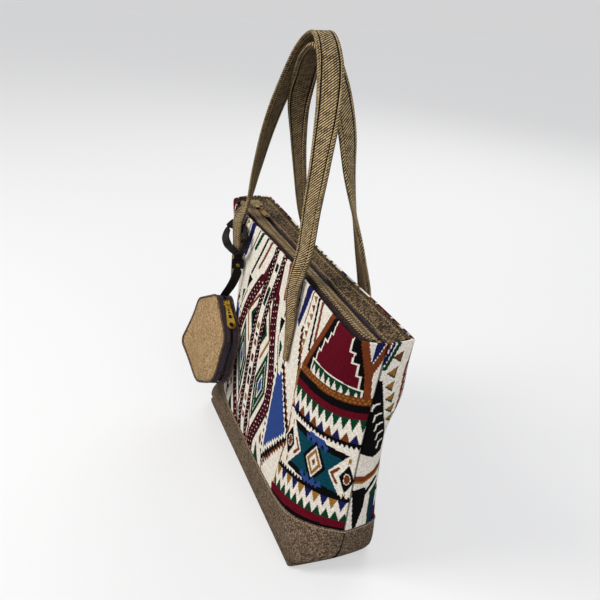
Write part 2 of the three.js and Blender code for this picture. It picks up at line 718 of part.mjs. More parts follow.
for (const [side, word] of [[FRONT, "front"], [BACK, "back"]]) {
  addPiece(pouch, `pouch_${word}`, curled(pouchFace(side)), finishes.pouchTwill);
  addPiece(pouch, `pouch_${word}_piping`, curled(pouchPiping(side)), finishes.piping);
  addPiece(pouch, `pouch_${word}_zip_tape`, pouchTape(side), finishes.tape);
}
addPiece(pouch, "pouch_gusset", curled(gusset), finishes.tape);

// The pouch's slider is parked below the top corner, and its long pull lies down the side.
const pouchSlider = new THREE.Group();
const sideStart = pouchCorner(0, CORNER_STEPS);
const sideEnd = pouchCorner(1, 0);
const sideWay = sideEnd.place.clone().sub(sideStart.place).normalize();
const sliderStart = SLIDER_LENGTH / 2 + 1;
pouchSlider.position.copy(sideStart.place).addScaledVector(sideWay, sliderStart);
pouchSlider.rotation.y = Math.atan2(-sideWay.z, sideWay.x);
pouch.add(pouchSlider);
const pouchCrownBase = sliderPlateLevel + SLIDER_PLATE / 2;
addPiece(pouchSlider, "pouch_slider", sliderGeometry(pouchCrownBase), finishes.brass);
const pullCuts = [
  [9, 11.5, 1.6],
  [13, 15.5, 1.8],
  [17.5, 23, 2.2],
].map((cut) => cut.map((size) => (size * POUCH_PULL_LENGTH) / 38));
const pouchPullPlate = pullGeometry(POUCH_PULL_LENGTH, POUCH_PULL_TIP, pullCuts);
const pouchPull = addPiece(pouchSlider, "pouch_pull", pouchPullPlate, finishes.brass);
pouchPull.position.z = pouchCrownBase + EYE_RADIUS;

// The pouch hangs beside the far strand of the front handle and rests on the panel behind it.
const strandX = FRONT_STRANDS.far;
const loopX = strandX + HANDLE_WIDTH / 2 + LOOP_ASIDE;
pouch.rotation.set(-degToRad(POUCH_TILT), 0, degToRad(POUCH_TURN), "ZXY");
pouch.position.set(loopX + POUCH_SHIFT, 0, BAG_HEIGHT - POUCH_DROP);
pouch.updateMatrixWorld(true);
const backFace = pouch.getObjectByName("pouch_back").geometry.attributes.position;
const backPiping = pouch.getObjectByName("pouch_back_piping").geometry.attributes.position;
const restingRoom = [backFace, backPiping].flatMap((positions) =>
  range(positions.count).map((i) => {
    const point = new THREE.Vector3().fromBufferAttribute(positions, i).applyMatrix4(pouch.matrixWorld);
    return -depthAt(FRONT, point.x, point.z, 0) - point.y;
  }),
);
pouch.position.y = Math.min(...restingRoom) - 2 * CLEARANCE;
pouch.updateMatrixWorld(true);

// The leather loop round that strand: it runs behind the strap, comes round both of its edges
// and its two ends meet in a keeper in front, fixed by a rivet.
const loopZ = BAG_HEIGHT - LOOP_DROP;
const keeperTop = loopZ - LOOP_LENGTH;
const keeperBottom = keeperTop - KEEPER_HEIGHT;
const strandEdge = HANDLE_WIDTH / 2;
const panelBehind = Math.max(...[-1, 0, 1].map((i) => depthAt(FRONT, strandX + i * strandEdge, loopZ, 0)));
const behindY = -panelBehind - (handleOffset(loopZ) - HANDLE_THICKNESS / 2) / 2;
const strapY = -panelBehind - handleOffset(loopZ);
const frontY = strapY - HANDLE_THICKNESS / 2 - LOOP_WIDTH / 2 - 1;
const keeperHalf = LOOP_WIDTH / 2 + 3 * CLEARANCE;
const keeperY = -depthAt(FRONT, loopX, keeperBottom, 0) - keeperHalf - KEEPER_WALL - 1;
const keeperAcross = headingAt(KEEPER_TURN);
const keeperOut = headingAt(KEEPER_TURN - 90);
const endOffset = LOOP_THICKNESS / 2 + CLEARANCE;
const loopEnd = (sign, z) => {
  const offset = sign * endOffset;
  return [loopX + offset * keeperOut.x, keeperY + offset * keeperOut.y, z, keeperAcross.toArray()];
};
const leftEdge = strandX - strandEdge;
const rightEdge = strandX + strandEdge;
const loopPlaces = [
  loopEnd(-1, keeperBottom + 2),
  loopEnd(-1, keeperTop + 5),
  [rightEdge - 2, frontY, keeperTop + 8, [0.2, 0.95, 0.25]],
  [strandX - 7, frontY - 1, keeperTop + 8, [0.3, 0.9, 0.3]],
  [leftEdge - 4, frontY - 1, keeperTop + LOOP_BOW + 1, [0.35, 0.75, 0.55]],
  [leftEdge - 8, strapY - 5, loopZ - LOOP_BOW + 2, [0.2, 0.5, 0.85]],
  [leftEdge - 5, strapY, loopZ - 3, [0, 0.2, 1]],
  [leftEdge + 2, behindY, loopZ, [0, 0, 1]],
  [strandX, behindY, loopZ + 1, [0, 0, 1]],
  [rightEdge - 2, behindY, loopZ, [0, 0, 1]],
  [rightEdge + LOOP_BOW, strapY + 1, loopZ + 3, [-0.1, 0.1, 1]],
  [rightEdge + 2 * LOOP_BOW, strapY - 1, loopZ - 2, [-0.4, 0.35, 0.8]],
  [rightEdge + 2 * LOOP_BOW, keeperY + 2, loopZ - LOOP_BOW - 2, [-0.2, 0.8, 0.5]],
  loopEnd(1, keeperTop + 5),
  loopEnd(1, keeperBottom + 2),
];
const LOOP_STATIONS = 56;
const loopMiddles = loopPlaces.map(([x, y, z]) => new THREE.Vector3(x, y, z));
const loopTurns = loopPlaces.map((place) => new THREE.Vector3(...place[3]));
const pouchLoop = strapGeometry(loopMiddles, loopTurns, LOOP_WIDTH, LOOP_THICKNESS, LOOP_STATIONS);
addPiece(bag, "pouch_loop", pouchLoop, finishes.leatherette);

const keeperRoom = endOffset + LOOP_THICKNESS / 2 + 3 * CLEARANCE;
const rectangle = (path, x, y) => {
  path.moveTo(-x, -y);
  path.lineTo(x, -y);
  path.lineTo(x, y);
  path.lineTo(-x, y);
  return path;
};
const keeperShape = rectangle(new THREE.Shape(), keeperHalf + KEEPER_WALL, keeperRoom + KEEPER_WALL);
keeperShape.holes.push(rectangle(new THREE.Path(), keeperHalf, keeperRoom));
const keeper = plateGeometry(keeperShape, KEEPER_HEIGHT).rotateZ(degToRad(KEEPER_TURN));
keeper.translate(loopX, keeperY, keeperTop - KEEPER_HEIGHT / 2);
addPiece(bag, "loop_keeper", keeper, finishes.leatherette);
const rivetHeight = RIVET_RADIUS * 0.5;
const rivet = new THREE.CylinderGeometry(RIVET_RADIUS, RIVET_RADIUS * 0.7, rivetHeight, 16);
const rivetReach = keeperRoom + KEEPER_WALL + CLEARANCE + rivetHeight / 2;
const rivetPlace = keeperOut.clone().multiplyScalar(rivetReach);
rivet.rotateZ(degToRad(KEEPER_TURN));
rivet.translate(loopX + rivetPlace.x, keeperY + rivetPlace.y, keeperTop - KEEPER_HEIGHT / 2);
addPiece(bag, "loop_rivet", rivet, finishes.brass);

// The tab that carries the pouch: its round upper end swings under the keeper.
const tabRound = TAB_WIDTH / 2;
const tabSwing = new THREE.Vector3(loopX, keeperY, keeperBottom - tabRound - 2 * CLEARANCE);
const tabFoot = new THREE.Vector3(0, 0, cornerReach + (BAND_THICKNESS + TAB_THICKNESS) / 2 + CLEARANCE);
tabFoot.applyMatrix4(pouch.matrixWorld);
const tabMiddle = tabSwing.clone().lerp(tabFoot, 0.5);
tabMiddle.y += TAB_BOW;
const aboveSwing = (share) => tabSwing.clone().setZ(tabSwing.z + share * tabRound);
const roundEnd = (middle) => Math.sqrt(1 - Math.max(0, (middle.z - tabSwing.z) / tabRound) ** 2);
const tabEnd = new THREE.Vector3(0, 1, 0).transformDirection(pouch.matrixWorld);
const tabMiddles = [...[0.97, 0.8, 0.45].map(aboveSwing), tabSwing, tabMiddle, tabFoot];
const acrossTab = tabMiddles.map((place) => (place === tabFoot ? tabEnd : keeperAcross));
const tab = strapGeometry(tabMiddles, acrossTab, TAB_WIDTH, TAB_THICKNESS, 15, roundEnd);
addPiece(bag, "pouch_tab", tab, finishes.leatherette);

export default bag;
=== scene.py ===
import math
import bpy
import numpy as np
from mathutils import Matrix, Vector


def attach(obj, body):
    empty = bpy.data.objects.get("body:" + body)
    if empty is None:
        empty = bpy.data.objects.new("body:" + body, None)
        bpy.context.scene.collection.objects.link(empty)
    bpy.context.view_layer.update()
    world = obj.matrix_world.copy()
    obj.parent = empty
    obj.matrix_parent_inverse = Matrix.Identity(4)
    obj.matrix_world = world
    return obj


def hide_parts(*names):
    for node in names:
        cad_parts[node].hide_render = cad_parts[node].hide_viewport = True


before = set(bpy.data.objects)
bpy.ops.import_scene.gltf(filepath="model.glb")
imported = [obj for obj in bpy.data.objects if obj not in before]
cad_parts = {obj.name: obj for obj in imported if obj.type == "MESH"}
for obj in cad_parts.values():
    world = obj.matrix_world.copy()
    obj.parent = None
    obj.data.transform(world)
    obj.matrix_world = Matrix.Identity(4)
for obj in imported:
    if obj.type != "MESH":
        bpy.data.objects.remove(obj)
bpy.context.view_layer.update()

# Stage: a pale studio floor, a soft key light from the upper left, a broad fill from the right
# and a camera at the photograph's angle. None of it belongs to the bag.
CAMERA_PLACE = (0.66758, -0.29217, 0.57827)
CAMERA_AIM = (-0.04408, 0.01994, 0.20795)
CAMERA_ROLL = 6.31
CAMERA_LENS, SENSOR_WIDTH = 43.6, 36.0
scene = bpy.context.scene
scene.view_settings.view_transform = "Standard"
camera_data = bpy.data.cameras.new("camera")
camera_data.lens = CAMERA_LENS
camera_data.sensor_width = SENSOR_WIDTH
camera = bpy.data.objects.new("camera", camera_data)
scene.collection.objects.link(camera)
aim = Vector(CAMERA_AIM) - Vector(CAMERA_PLACE)
camera.matrix_world = (
    Matrix.Translation(CAMERA_PLACE)
    @ aim.to_track_quat("-Z", "Y").to_matrix().to_4x4()
    @ Matrix.Rotation(math.radians(CAMERA_ROLL), 4, "Z")
)
scene.camera = camera


def material_tree(name, roughness):
    """A new material: itself, its nodes, its links and its shader."""
    material = bpy.data.materials.new(name)
    material.use_nodes = True
    shader = material.node_tree.nodes["Principled BSDF"]
    shader.inputs["Roughness"].default_value = roughness
    return material, material.node_tree.nodes, material.node_tree.links, shader


def math_node(nodes, links, operation, *values):
    """A sum of numbers and of other nodes' outputs."""
    node = nodes.new("ShaderNodeMath")
    node.operation = operation
    for socket, value in zip(node.inputs, values):
        if isinstance(value, (int, float)):
            socket.default_value = value
        else:
            links.new(value, socket)
    return node.outputs[0]


PALE = (0.42, 0.42, 0.42)
WALL = (0.65, 0.65, 0.66)
FLOOR_HALF, FLOOR_LEVEL = 6.0, -0.0005
FLOOR_GLOW = 1.06
floor_mesh = bpy.data.meshes.new("floor")
floor_mesh.from_pydata(
    [(-FLOOR_HALF, -FLOOR_HALF, 0), (FLOOR_HALF, -FLOOR_HALF, 0),
     (FLOOR_HALF, FLOOR_HALF, 0), (-FLOOR_HALF, FLOOR_HALF, 0)],
    [], [(0, 1, 2, 3)],
)
floor = bpy.data.objects.new("floor", floor_mesh)
floor.location.z = FLOOR_LEVEL
scene.collection.objects.link(floor)
floor_paint, nodes, links, shader = material_tree("pale_floor", 0.8)
seen = nodes.new("ShaderNodeLightPath")
glow = math_node(nodes, links, "MULTIPLY", seen.outputs["Is Camera Ray"], FLOOR_GLOW)
shader.inputs["Base Color"].default_value = (*PALE, 1)
shader.inputs["Emission Color"].default_value = (*PALE, 1)
links.new(glow, shader.inputs["Emission Strength"])
floor_mesh.materials.append(floor_paint)

ROOM_LIGHT, ROOM_STRENGTH = (0.93, 0.95, 1.0), 0.4
world = bpy.data.worlds.new("studio")
world.use_nodes = True
nodes, links = world.node_tree.nodes, world.node_tree.links
room_light = nodes["Background"]
room_light.inputs["Color"].default_value = (*ROOM_LIGHT, 1)
room_light.inputs["Strength"].default_value = ROOM_STRENGTH
pale_wall = nodes.new("ShaderNodeBackground")
pale_wall.inputs["Color"].default_value = (*WALL, 1)
seen = nodes.new("ShaderNodeLightPath")
shown = math_node(nodes, links, "MAXIMUM", seen.outputs["Is Camera Ray"], seen.outputs["Is Glossy Ray"])
choice = nodes.new("ShaderNodeMixShader")
for socket, source in zip(choice.inputs, (shown, room_light.outputs[0], pale_wall.outputs[0])):
    links.new(source, socket)
links.new(choice.outputs[0], nodes["World Output"].inputs["Surface"])
scene.world = world


def area_light(name, place, aim_at, size, watts, colour):
    light = bpy.data.lights.new(name, "AREA")
    light.size = size
    light.energy = watts
    light.color = colour
    lamp = bpy.data.objects.new(name, light)
    lamp.location = place
    lamp.rotation_euler = (Vector(aim_at) - Vector(place)).to_track_quat("-Z", "Y").to_euler()
    scene.collection.objects.link(lamp)


area_light("key", (-0.3, -1.6, 1.5), (0, 0, 0.2), 0.9, 32, (1.0, 0.97, 0.93))
area_light("fill", (1.75, -0.1, 1.1), (0, 0, 0.15), 1.4, 17, (0.97, 0.98, 1.0))
area_light("back", (-1.3, 1.2, 1.5), (0, 0, 0.25), 1.2, 14, (1.0, 1.0, 1.0))

# Jacquard panels: two cloth walls, front and back, sewn together down the middle of each end.
# The cloth is a heavy woven kilim pattern, mirrored about a column of marks near the middle.
# The same wall curve serves the base, the facings and the closure that are sewn to it.
MM = 0.001
BAG_HEIGHT = 286.0
TOP_LENGTH, HIP_LENGTH, BOTTOM_LENGTH = 400.0, 356.0, 316.0
TOP_DEPTH, BOTTOM_DEPTH = 56.0, 98.0
BASE_BAND, BASE_END_RISE = 41.0, 15.0
# How fast the ends widen at the foot, how late they flare to the rim, and from which level up the back
# wall bulges and the rim is drawn in
HIP_FADE, FLARE_POWER = 18.0, 1.8
BACK_BULGE, BULGE_FROM = 4.0, 0.5
RIM_DRAW, DRAW_FROM = 4.0, 0.6
FRONT, BACK = -1, 1
# How square the corners are: at the foot, at the waist, how fast it fades up from the foot,
# at the rim, and the level and the power with which the rim's squareness comes in
CORNERS = {FRONT: (360.0, 4.6, 9.5, 34.0, 0.66, 2.5), BACK: (60.0, 22.0, 30.0, 180.0, 0.55, 2.0)}


def smooth(value, low, high):
    t = np.clip((value - low) / (high - low), 0, 1)
    return t * t * (3 - 2 * t)


def seam_reach(z):
    """Half the length of the bag at a height, from the middle to a side seam."""
    hip = (HIP_LENGTH - BOTTOM_LENGTH) / 2 * (1 - np.exp(-z / HIP_FADE))
    above = np.maximum(0, (z - BASE_BAND - BASE_END_RISE) / (BAG_HEIGHT - BASE_BAND - BASE_END_RISE))
    return BOTTOM_LENGTH / 2 + hip + (TOP_LENGTH - HIP_LENGTH) / 2 * above ** FLARE_POWER


def wall(side, share, z, inset=0.0):
    """Points of the bag's wall: side, share of the way to the side seam, and height."""
    level = z / BAG_HEIGHT
    foot, waist, fade, rim, start, rise = CORNERS[side]
    upper = np.maximum(0, (level - start) / (1 - start)) ** rise
    power = waist + (foot - waist) * np.exp(-z / fade) + (rim - waist) * upper
    bulge = 0 if side == FRONT else BACK_BULGE * np.sin(math.pi * smooth(level, BULGE_FROM, 1)) ** 2
    depth = (BOTTOM_DEPTH + (TOP_DEPTH - BOTTOM_DEPTH) * level) / 2 + bulge
    draw = RIM_DRAW * smooth(level, DRAW_FROM, 1) * (1 - share * share) ** 3
    y = (depth - inset) * (1 - np.abs(share) ** power) - draw
    return np.stack([(seam_reach(z) - inset) * share, side * y, z + 0 * share], -1)


LENGTH_LEVELS = np.linspace(0, BAG_HEIGHT, 60)
TRACE_STEPS = 1600


def run_along(points, stretch=1.0):
    """The way along a line of points at each of them, shortened where the cloth is stretched."""
    return np.r_[0, np.cumsum(np.linalg.norm(np.diff(points, axis=0), axis=1) / stretch)]


def thread_tables(side, columns, seam_step=0.0):
    """Evenly spaced upright threads: at each level the shares where they lie, and the wall's length. With
    a seam step there is one more thread that close to each seam."""
    share = np.cos(np.linspace(0, math.pi, TRACE_STEPS))
    along = np.linspace(0, 1, columns)
    if seam_step:
        along = np.r_[0, seam_step, along[1:-1], 1 - seam_step, 1]
    shares, lengths = [], []
    for z in LENGTH_LEVELS:
        line = wall(side, share, np.full_like(share, z))
        run = run_along(line)
        shares.append(np.interp(along * run[-1], run, share))
        lengths.append(run[-1])
    return np.array(shares), np.array(lengths)


def at_height(table, z):
    """A table over the heights, read at the height of each point of a grid."""
    place = np.clip(z / BAG_HEIGHT * (len(LENGTH_LEVELS) - 1), 0, len(LENGTH_LEVELS) - 1.001)
    low = place.astype(int)
    part = place - low
    if table.ndim == 1:
        return table[low] * (1 - part) + table[low + 1] * part
    column = np.arange(table.shape[1])[None, :] + 0 * low
    return table[low, column] * (1 - part) + table[low + 1, column] * part


def base_top(share):
    """The height of the base's upper edge."""
    return BASE_BAND + BASE_END_RISE * np.abs(share) ** 3


def linear(colour):
    """A colour as a screen shows it, 0 to 255, as light."""
    value = np.array(colour, float) / 255
    return np.where(value < 0.04045, value / 12.92, ((value + 0.055) / 1.055) ** 2.4)


def grid_faces(rows, columns, closed=False):
    r, c = np.meshgrid(np.arange(rows - 1), np.arange(columns if closed else columns - 1), indexing="ij")
    after = (c + 1) % columns
    quads = [r * columns + c, r * columns + after, (r + 1) * columns + after, (r + 1) * columns + c]
    return np.stack(quads, -1).reshape(-1, 4)


def mesh_piece(name, points, faces, corner_uv, material):
    """A smooth object from points in millimetres, with a cloth map of one pair per face corner."""
    mesh = bpy.data.meshes.new(name)
    mesh.from_pydata((np.asarray(points).reshape(-1, 3) * MM).tolist(), [], faces)
    layer = mesh.uv_layers.new(name="cloth")
    layer.data.foreach_set("uv", np.asarray(corner_uv).ravel().astype(np.float32))
    mesh.polygons.foreach_set("use_smooth", [True] * len(mesh.polygons))
    mesh.materials.append(material)
    piece = bpy.data.objects.new(name, mesh)
    scene.collection.objects.link(piece)
    return piece


def cloth_piece(name, points, faces, material, uv, colours=None):
    """A piece of cloth from points. uv: one pair per point. colours: one per face."""
    corner_uv = np.asarray(uv).reshape(-1, 2)[faces]
    piece = mesh_piece(name, points, faces.tolist(), corner_uv, material)
    if colours is not None:
        corners = np.repeat(np.c_[colours, np.ones(len(colours))], len(faces[0]), axis=0)
        layer = piece.data.color_attributes.new("weave", "FLOAT_COLOR", "CORNER")
        layer.data.foreach_set("color", corners.ravel().astype(np.float32))
    return piece


# The cloth's colours, and how far from the near seam its column of marks lies
CREAM, MAROON, BLACK = (238, 230, 216), (96, 9, 28), (8, 6, 7)
RUST, GREEN, BLUE = (118, 57, 27), (10, 57, 35), (48, 72, 136)
NAVY, TEAL, OCHRE = (26, 28, 82), (8, 68, 82), (150, 108, 42)
PATTERN_AXIS = 223.0


class Weaving:
    """Fields of colour laid over each other on a cloth: m along it and v up it, in millimetres."""

    def __init__(self, m, v):
        self.m, self.v = m, v
        self.colour = np.empty((*m.shape, 3))
        self.colour[:] = linear(CREAM)

    def fill(self, where, colour):
        self.colour[where] = linear(colour)

    def box(self, m0, m1, v0, v1):
        return (self.m > m0) & (self.m < m1) & (self.v > v0) & (self.v < v1)

    def stepped(self, step):
        """Heights in whole steps, for slanting edges that go up like stairs."""
        return np.floor(self.v / step) * step + step / 2 if step else self.v

    def polygon(self, corners, step=0.0):
        v = self.stepped(step)
        inside = np.zeros(self.m.shape, bool)
        for (m0, v0), (m1, v1) in zip(corners, corners[1:] + corners[:1]):
            if v0 == v1:
                continue
            crosses = (v0 > v) != (v1 > v)
            inside ^= crosses & (self.m < (m1 - m0) * (v - v0) / (v1 - v0) + m0)
        return inside

    def patch(self, corners, colour, step=0.0):
        self.fill(self.polygon(corners, step), colour)

    def stroke(self, path, width, step=0.0):
        v = self.stepped(step)
        nearest = np.full(self.m.shape, 1e9)
        for (m0, v0), (m1, v1) in zip(path, path[1:]):
            span = (m1 - m0) ** 2 + (v1 - v0) ** 2
            t = np.clip(((self.m - m0) * (m1 - m0) + (v - v0) * (v1 - v0)) / span, 0, 1)
            nearest = np.minimum(nearest, np.hypot(self.m - m0 - t * (m1 - m0), v - v0 - t * (v1 - v0)))
        return nearest < width / 2

    def line(self, path, width, colour, step=0.0):
        self.fill(self.stroke(path, width, step), colour)

    def teeth(self, m0, m1, pitch, base, tip, arc=0.0, every=1, skip=0):
        """A row of triangles from base to tip. every and skip pick each second one."""
        phase = (self.m - m0) / pitch
        rise = (self.v - arc - base) / (tip - base)
        half = np.abs(phase - np.floor(phase) - 0.5) * 2
        picked = np.floor(phase).astype(int) % every == skip
        return (self.m > m0) & (self.m < m1) & (rise > 0) & (half < 1 - rise) & picked

    def diamond(self, m0, v0, half_m, half_v):
        return np.abs(self.m - m0) / half_m + np.abs(self.v - v0) / half_v < 1

    def oval(self, m0, v0, half_m, half_v):
        return ((self.m - m0) / half_m) ** 2 + ((self.v - v0) / half_v) ** 2 < 1


def weave_niche(cloth):
    """The upper field of the end block: a stepped maroon niche under a rust gable on black."""
    cloth.patch([(71, 300), (97, 212), (-5, 212), (-5, 232), (25, 300)], BLACK)
    cloth.patch([(23, 300), (9, 250), (2, 212), (-3, 212), (-3, 300)], CREAM)
    cloth.patch([(12, 300), (10, 262), (-1, 300)], NAVY)
    cloth.line([(70, 300), (94, 214)], 7.5, RUST)
    cloth.line([(25, 300), (10, 250), (5, 212)], 7, RUST)
    cloth.line([(-4, 296), (10, 250)], 6, RUST)
    steps = [(33, 62, 268, 300), (28, 66, 256, 270), (22, 72, 242, 258), (17, 76, 226, 244)]
    for m0, m1, v0, v1 in steps:
        cloth.fill(cloth.box(m0 - 2, m1 + 2, v0 - 2, v1 + 2), CREAM)
    for m0, m1, v0, v1 in steps:
        cloth.fill(cloth.box(m0, m1, v0, v1), MAROON)
    cloth.fill(cloth.box(11, 82, 212, 230), CREAM)
    cloth.fill(cloth.box(13, 80, 213, 228), GREEN)
    cloth.fill(cloth.teeth(13, 80, 8.4, 212, 226), CREAM)


def between(value, low, high):
    return (value > low) & (value < high)


def weave_bands(cloth):
    """The curved bands under the niche, with rows of green, navy and rust teeth on cream."""
    near = cloth.m < 99
    arc = 0.0032 * np.maximum(0, 62 - cloth.m) ** 2
    low_arc = 0.6 * arc
    height = cloth.v - arc
    cloth.fill(near & between(height, 150, 187), CREAM)
    cloth.fill(near & between(height, 203, 213), RUST)
    for row, shift in ((206, 0), (209.6, 2.6)):
        bricks = np.mod(cloth.m + shift, 5.2) < 2.8
        cloth.fill(near & bricks & (np.abs(height - row) < 1), OCHRE)
    cloth.fill(near & between(height, 194, 203.4), BLACK)
    cloth.fill(near & between(height, 186, 194), MAROON)
    cloth.fill(cloth.teeth(-2, 99, 10.1, 186, 171, arc), GREEN)
    cloth.fill(cloth.teeth(3, 98, 10.1, 160.5, 172, low_arc, 2, 0), NAVY)
    cloth.fill(cloth.teeth(3, 98, 10.1, 160.5, 172, low_arc, 2, 1), RUST)
    cloth.fill(near & between(cloth.v - low_arc, 157, 160.5), BLACK)
    cloth.fill(cloth.teeth(0, 96, 5, 157, 153, low_arc), BLACK)


def weave_star(cloth):
    """The teal star with its diamond, pointed at both sides by a chevron and an eye."""
    centre, middle = 48, 121
    cloth.patch([(91, 150), (7, 150), (26, 121), (7, 93), (91, 93), (72, 121)], BLACK)
    wings = cloth.polygon([(86, 142), (12, 142), (26, 121), (12, 100), (86, 100), (72, 121)])
    cloth.fill(wings, TEAL)
    threads = wings & (np.mod(cloth.v + 0.2 * cloth.m, 4.6) < 1.1)
    cloth.colour[threads] *= 0.72
    cloth.fill(cloth.diamond(centre, middle, 16, 27), BLACK)
    cloth.fill(cloth.box(38, 60, 146, 152) | cloth.teeth(33, 65, 8, 147, 139), BLUE)
    cloth.fill(cloth.box(38, 60, 91, 97) | cloth.teeth(33, 65, 8, 96, 104), BLUE)
    rings = [(11.5, 20, CREAM), (9.8, 17, OCHRE), (6.0, 11, CREAM), (2.4, 4.6, RUST)]
    for half_m, half_v, colour in rings:
        cloth.fill(cloth.diamond(centre, middle, half_m, half_v), colour)
    for outer, tip, eye in ((95, 72, 89), (2, 25, 8)):
        cloth.line([(outer, 155), (tip, middle), (outer, 87)], 7, CREAM)
        lean = 0.3 * (outer - tip)
        cloth.line([(tip + lean, 130), (tip, middle), (tip + lean, 112)], 3, RUST)
        cloth.line([(eye, 146), (eye, 96)], 2.4, OCHRE)
        cloth.fill(cloth.diamond(eye, middle, 10, 21), CREAM)
        cloth.fill(cloth.diamond(eye, middle, 8.4, 18), BLACK)
        cloth.fill(cloth.oval(eye, middle, 3.8, 7), CREAM)
        cloth.fill(cloth.oval(eye, middle, 3.0, 6), RUST)


def weave_foot(cloth):
    """The rows under the star, mirrored from those above it, down to the base seam."""
    near = cloth.m < 104
    slope = 0.13 * (50 - cloth.m)
    height = cloth.v - slope
    cloth.fill(near & between(height, 58, 91), CREAM)
    cloth.fill(near & between(height, 87, 90.5), BLACK)
    cloth.fill(cloth.teeth(0, 100, 5, 90.5, 94.5, slope), BLACK)
    cloth.fill(cloth.teeth(3, 104, 10.1, 87, 73, slope, 2, 0), NAVY)
    cloth.fill(cloth.teeth(3, 104, 10.1, 87, 73, slope, 2, 1), OCHRE)
    cloth.fill(cloth.teeth(-2, 104, 10.1, 61, 73, slope), GREEN)
    cloth.fill((cloth.m < 112) & between(height, 52.5, 61), MAROON)
    cloth.fill((cloth.m < 112) & (height < 52.5), BLACK)


def weave_sail(cloth):
    """The cream field beside the block: a stepped blue sail, a chain of small leaves, slanted lines."""
    for path, width, colour in (
        ([(104, 300), (90, 246)], 4.5, RUST),
        ([(113, 300), (95, 232)], 4.0, BLACK),
        ([(126, 300), (121, 250)], 2.0, RUST),
    ):
        cloth.line(path, width, colour)
    cloth.patch([(127, 300), (141, 300), (137, 244), (130, 238)], NAVY)
    for leaf in range(7):
        v0 = 282 - 10 * leaf
        m0 = 117 - 1.3 * leaf
        colour = (OCHRE, RUST, OCHRE)[leaf % 3]
        cloth.patch([(m0 - 4, v0 - 4), (m0 + 4, v0 + 1), (m0 - 3, v0 + 4.5)], colour)
    cloth.line([(121, 242), (104, 204), (98, 168)], 4.2, BLACK, 7.0)
    cloth.line([(117, 238), (101, 204), (96, 168)], 3.2, RUST, 6.0)
    cloth.line([(103, 208), (100, 176), (96, 122), (101, 90), (108, 40)], 2.6, OCHRE, 4.0)
    cloth.line([(136, 188), (92, 119), (149, 46)], 3.4, RUST, 6.0)
    cloth.line([(137, 182), (97, 119), (150, 54)], 6.5, BLACK, 6.0)
    cloth.line([(137, 177), (101, 119), (150, 63)], 4, CREAM, 6.0)
    cloth.patch([(148, 170), (135, 174), (102, 120), (148, 70)], BLUE, 5.0)
    teeth = np.mod(cloth.v, 9) < 4.5
    cloth.fill(cloth.stroke([(149, 170), (150, 66)], 4) & teeth, CREAM)
    cloth.fill(cloth.stroke([(153, 176), (153.5, 56)], 3.4) & ~teeth, BLACK)


WINE = (72, 6, 22)


def dotted_band(cloth, path, width, pitch):
    """A wine-red band between black threads, with small cream knots in two rows."""
    cloth.line(path, width + 2.8, BLACK)
    cloth.line(path, width, WINE)
    for place, shift in ((-0.26, 0.0), (0.26, 0.5)):
        row = [(m + place * width, v) for m, v in path]
        shadow = np.mod(cloth.v / pitch + shift + 0.4, 1) < 0.42
        cloth.fill(cloth.stroke(row, 3.0) & shadow, BLACK)
        knots = np.mod(cloth.v / pitch + shift, 1) < 0.2
        cloth.fill(cloth.stroke(row, 1.7) & knots, CREAM)


# The corners of the leaf's outline from its middle
LEAF = [(-6, 50), (-18, 0), (12, -55), (18, 2)]


def weave_leaf(cloth):
    """The middle of the panel: dotted maroon bands round a green leaf, and a column of marks."""
    for path, width, colour in (
        ([(198, 300), (181, 246)], 4.6, RUST),
        ([(185, 300), (166, 232)], 4.2, BLACK),
        ([(170, 300), (156, 262)], 6.0, GREEN),
        ([(159, 300), (147, 256)], 2.4, BLACK),
    ):
        cloth.line(path, width, colour)
    cloth.patch([(162, 228), (174, 226), (164, 206)], BLACK)
    cloth.patch([(150, 200), (160, 205), (151, 182)], GREEN)
    cloth.line([(166, 206), (146, 168)], 1.8, BLACK)
    cloth.patch([(206, 276), (207, 236), (198, 216), (186, 222), (199, 250)], BLACK)
    cloth.patch([(205, 268), (205, 238), (198, 218), (188, 223), (200, 250)], MAROON)
    dotted_band(cloth, [(198, 236), (190, 218), (180, 198), (171, 178), (163, 158), (159, 138), (159, 118),
                        (168, 98), (178, 78), (189, 58), (196, 36)], 14, 7)
    cloth.patch([(209, 226), (181, 186), (209, 150)], CREAM)
    cloth.line([(205, 219), (185, 189)], 4, RUST)
    cloth.line([(185, 186), (201, 156)], 4, OCHRE)
    cloth.patch([(207, 206), (194, 190), (207, 168)], GREEN)
    cloth.patch([(207, 198), (199, 190), (207, 178)], BLACK)
    centre, middle = 187, 126
    rings = [(1.0, GREEN), (0.72, CREAM), (0.67, GREEN), (0.37, CREAM), (0.27, BLUE)]
    for scale, colour in rings:
        leaf = [(centre + scale * m, middle + scale * v) for m, v in LEAF]
        cloth.patch(leaf, colour)
    cloth.patch([(209, 100), (197, 62), (209, 36)], CREAM)
    cloth.line([(207, 92), (199, 64), (207, 36)], 3.4, RUST)
    cloth.patch([(209, 74), (203, 62), (209, 48)], GREEN)
    cloth.patch([(160, 40), (170, 62), (177, 40)], GREEN)
    cloth.fill(cloth.diamond(160, 72, 4, 8), RUST)
    dotted_band(cloth, [(211, 300), (212, 220), (211, 150), (212, 36)], 8, 6)
    for v0, v1, colour in (
        (261, 271, BLACK), (232, 240, GREEN), (220, 233, BLACK), (215, 220, GREEN), (183, 191, OCHRE),
        (173, 177, BLACK), (160, 168, RUST), (138, 148, MAROON), (120, 130, BLACK), (106, 117, BLACK),
        (83, 93, OCHRE), (73, 77, GREEN), (60, 68, RUST),
    ):
        cloth.fill(cloth.box(PATTERN_AXIS - 3.4, PATTERN_AXIS + 3.4, v0, v1), colour)


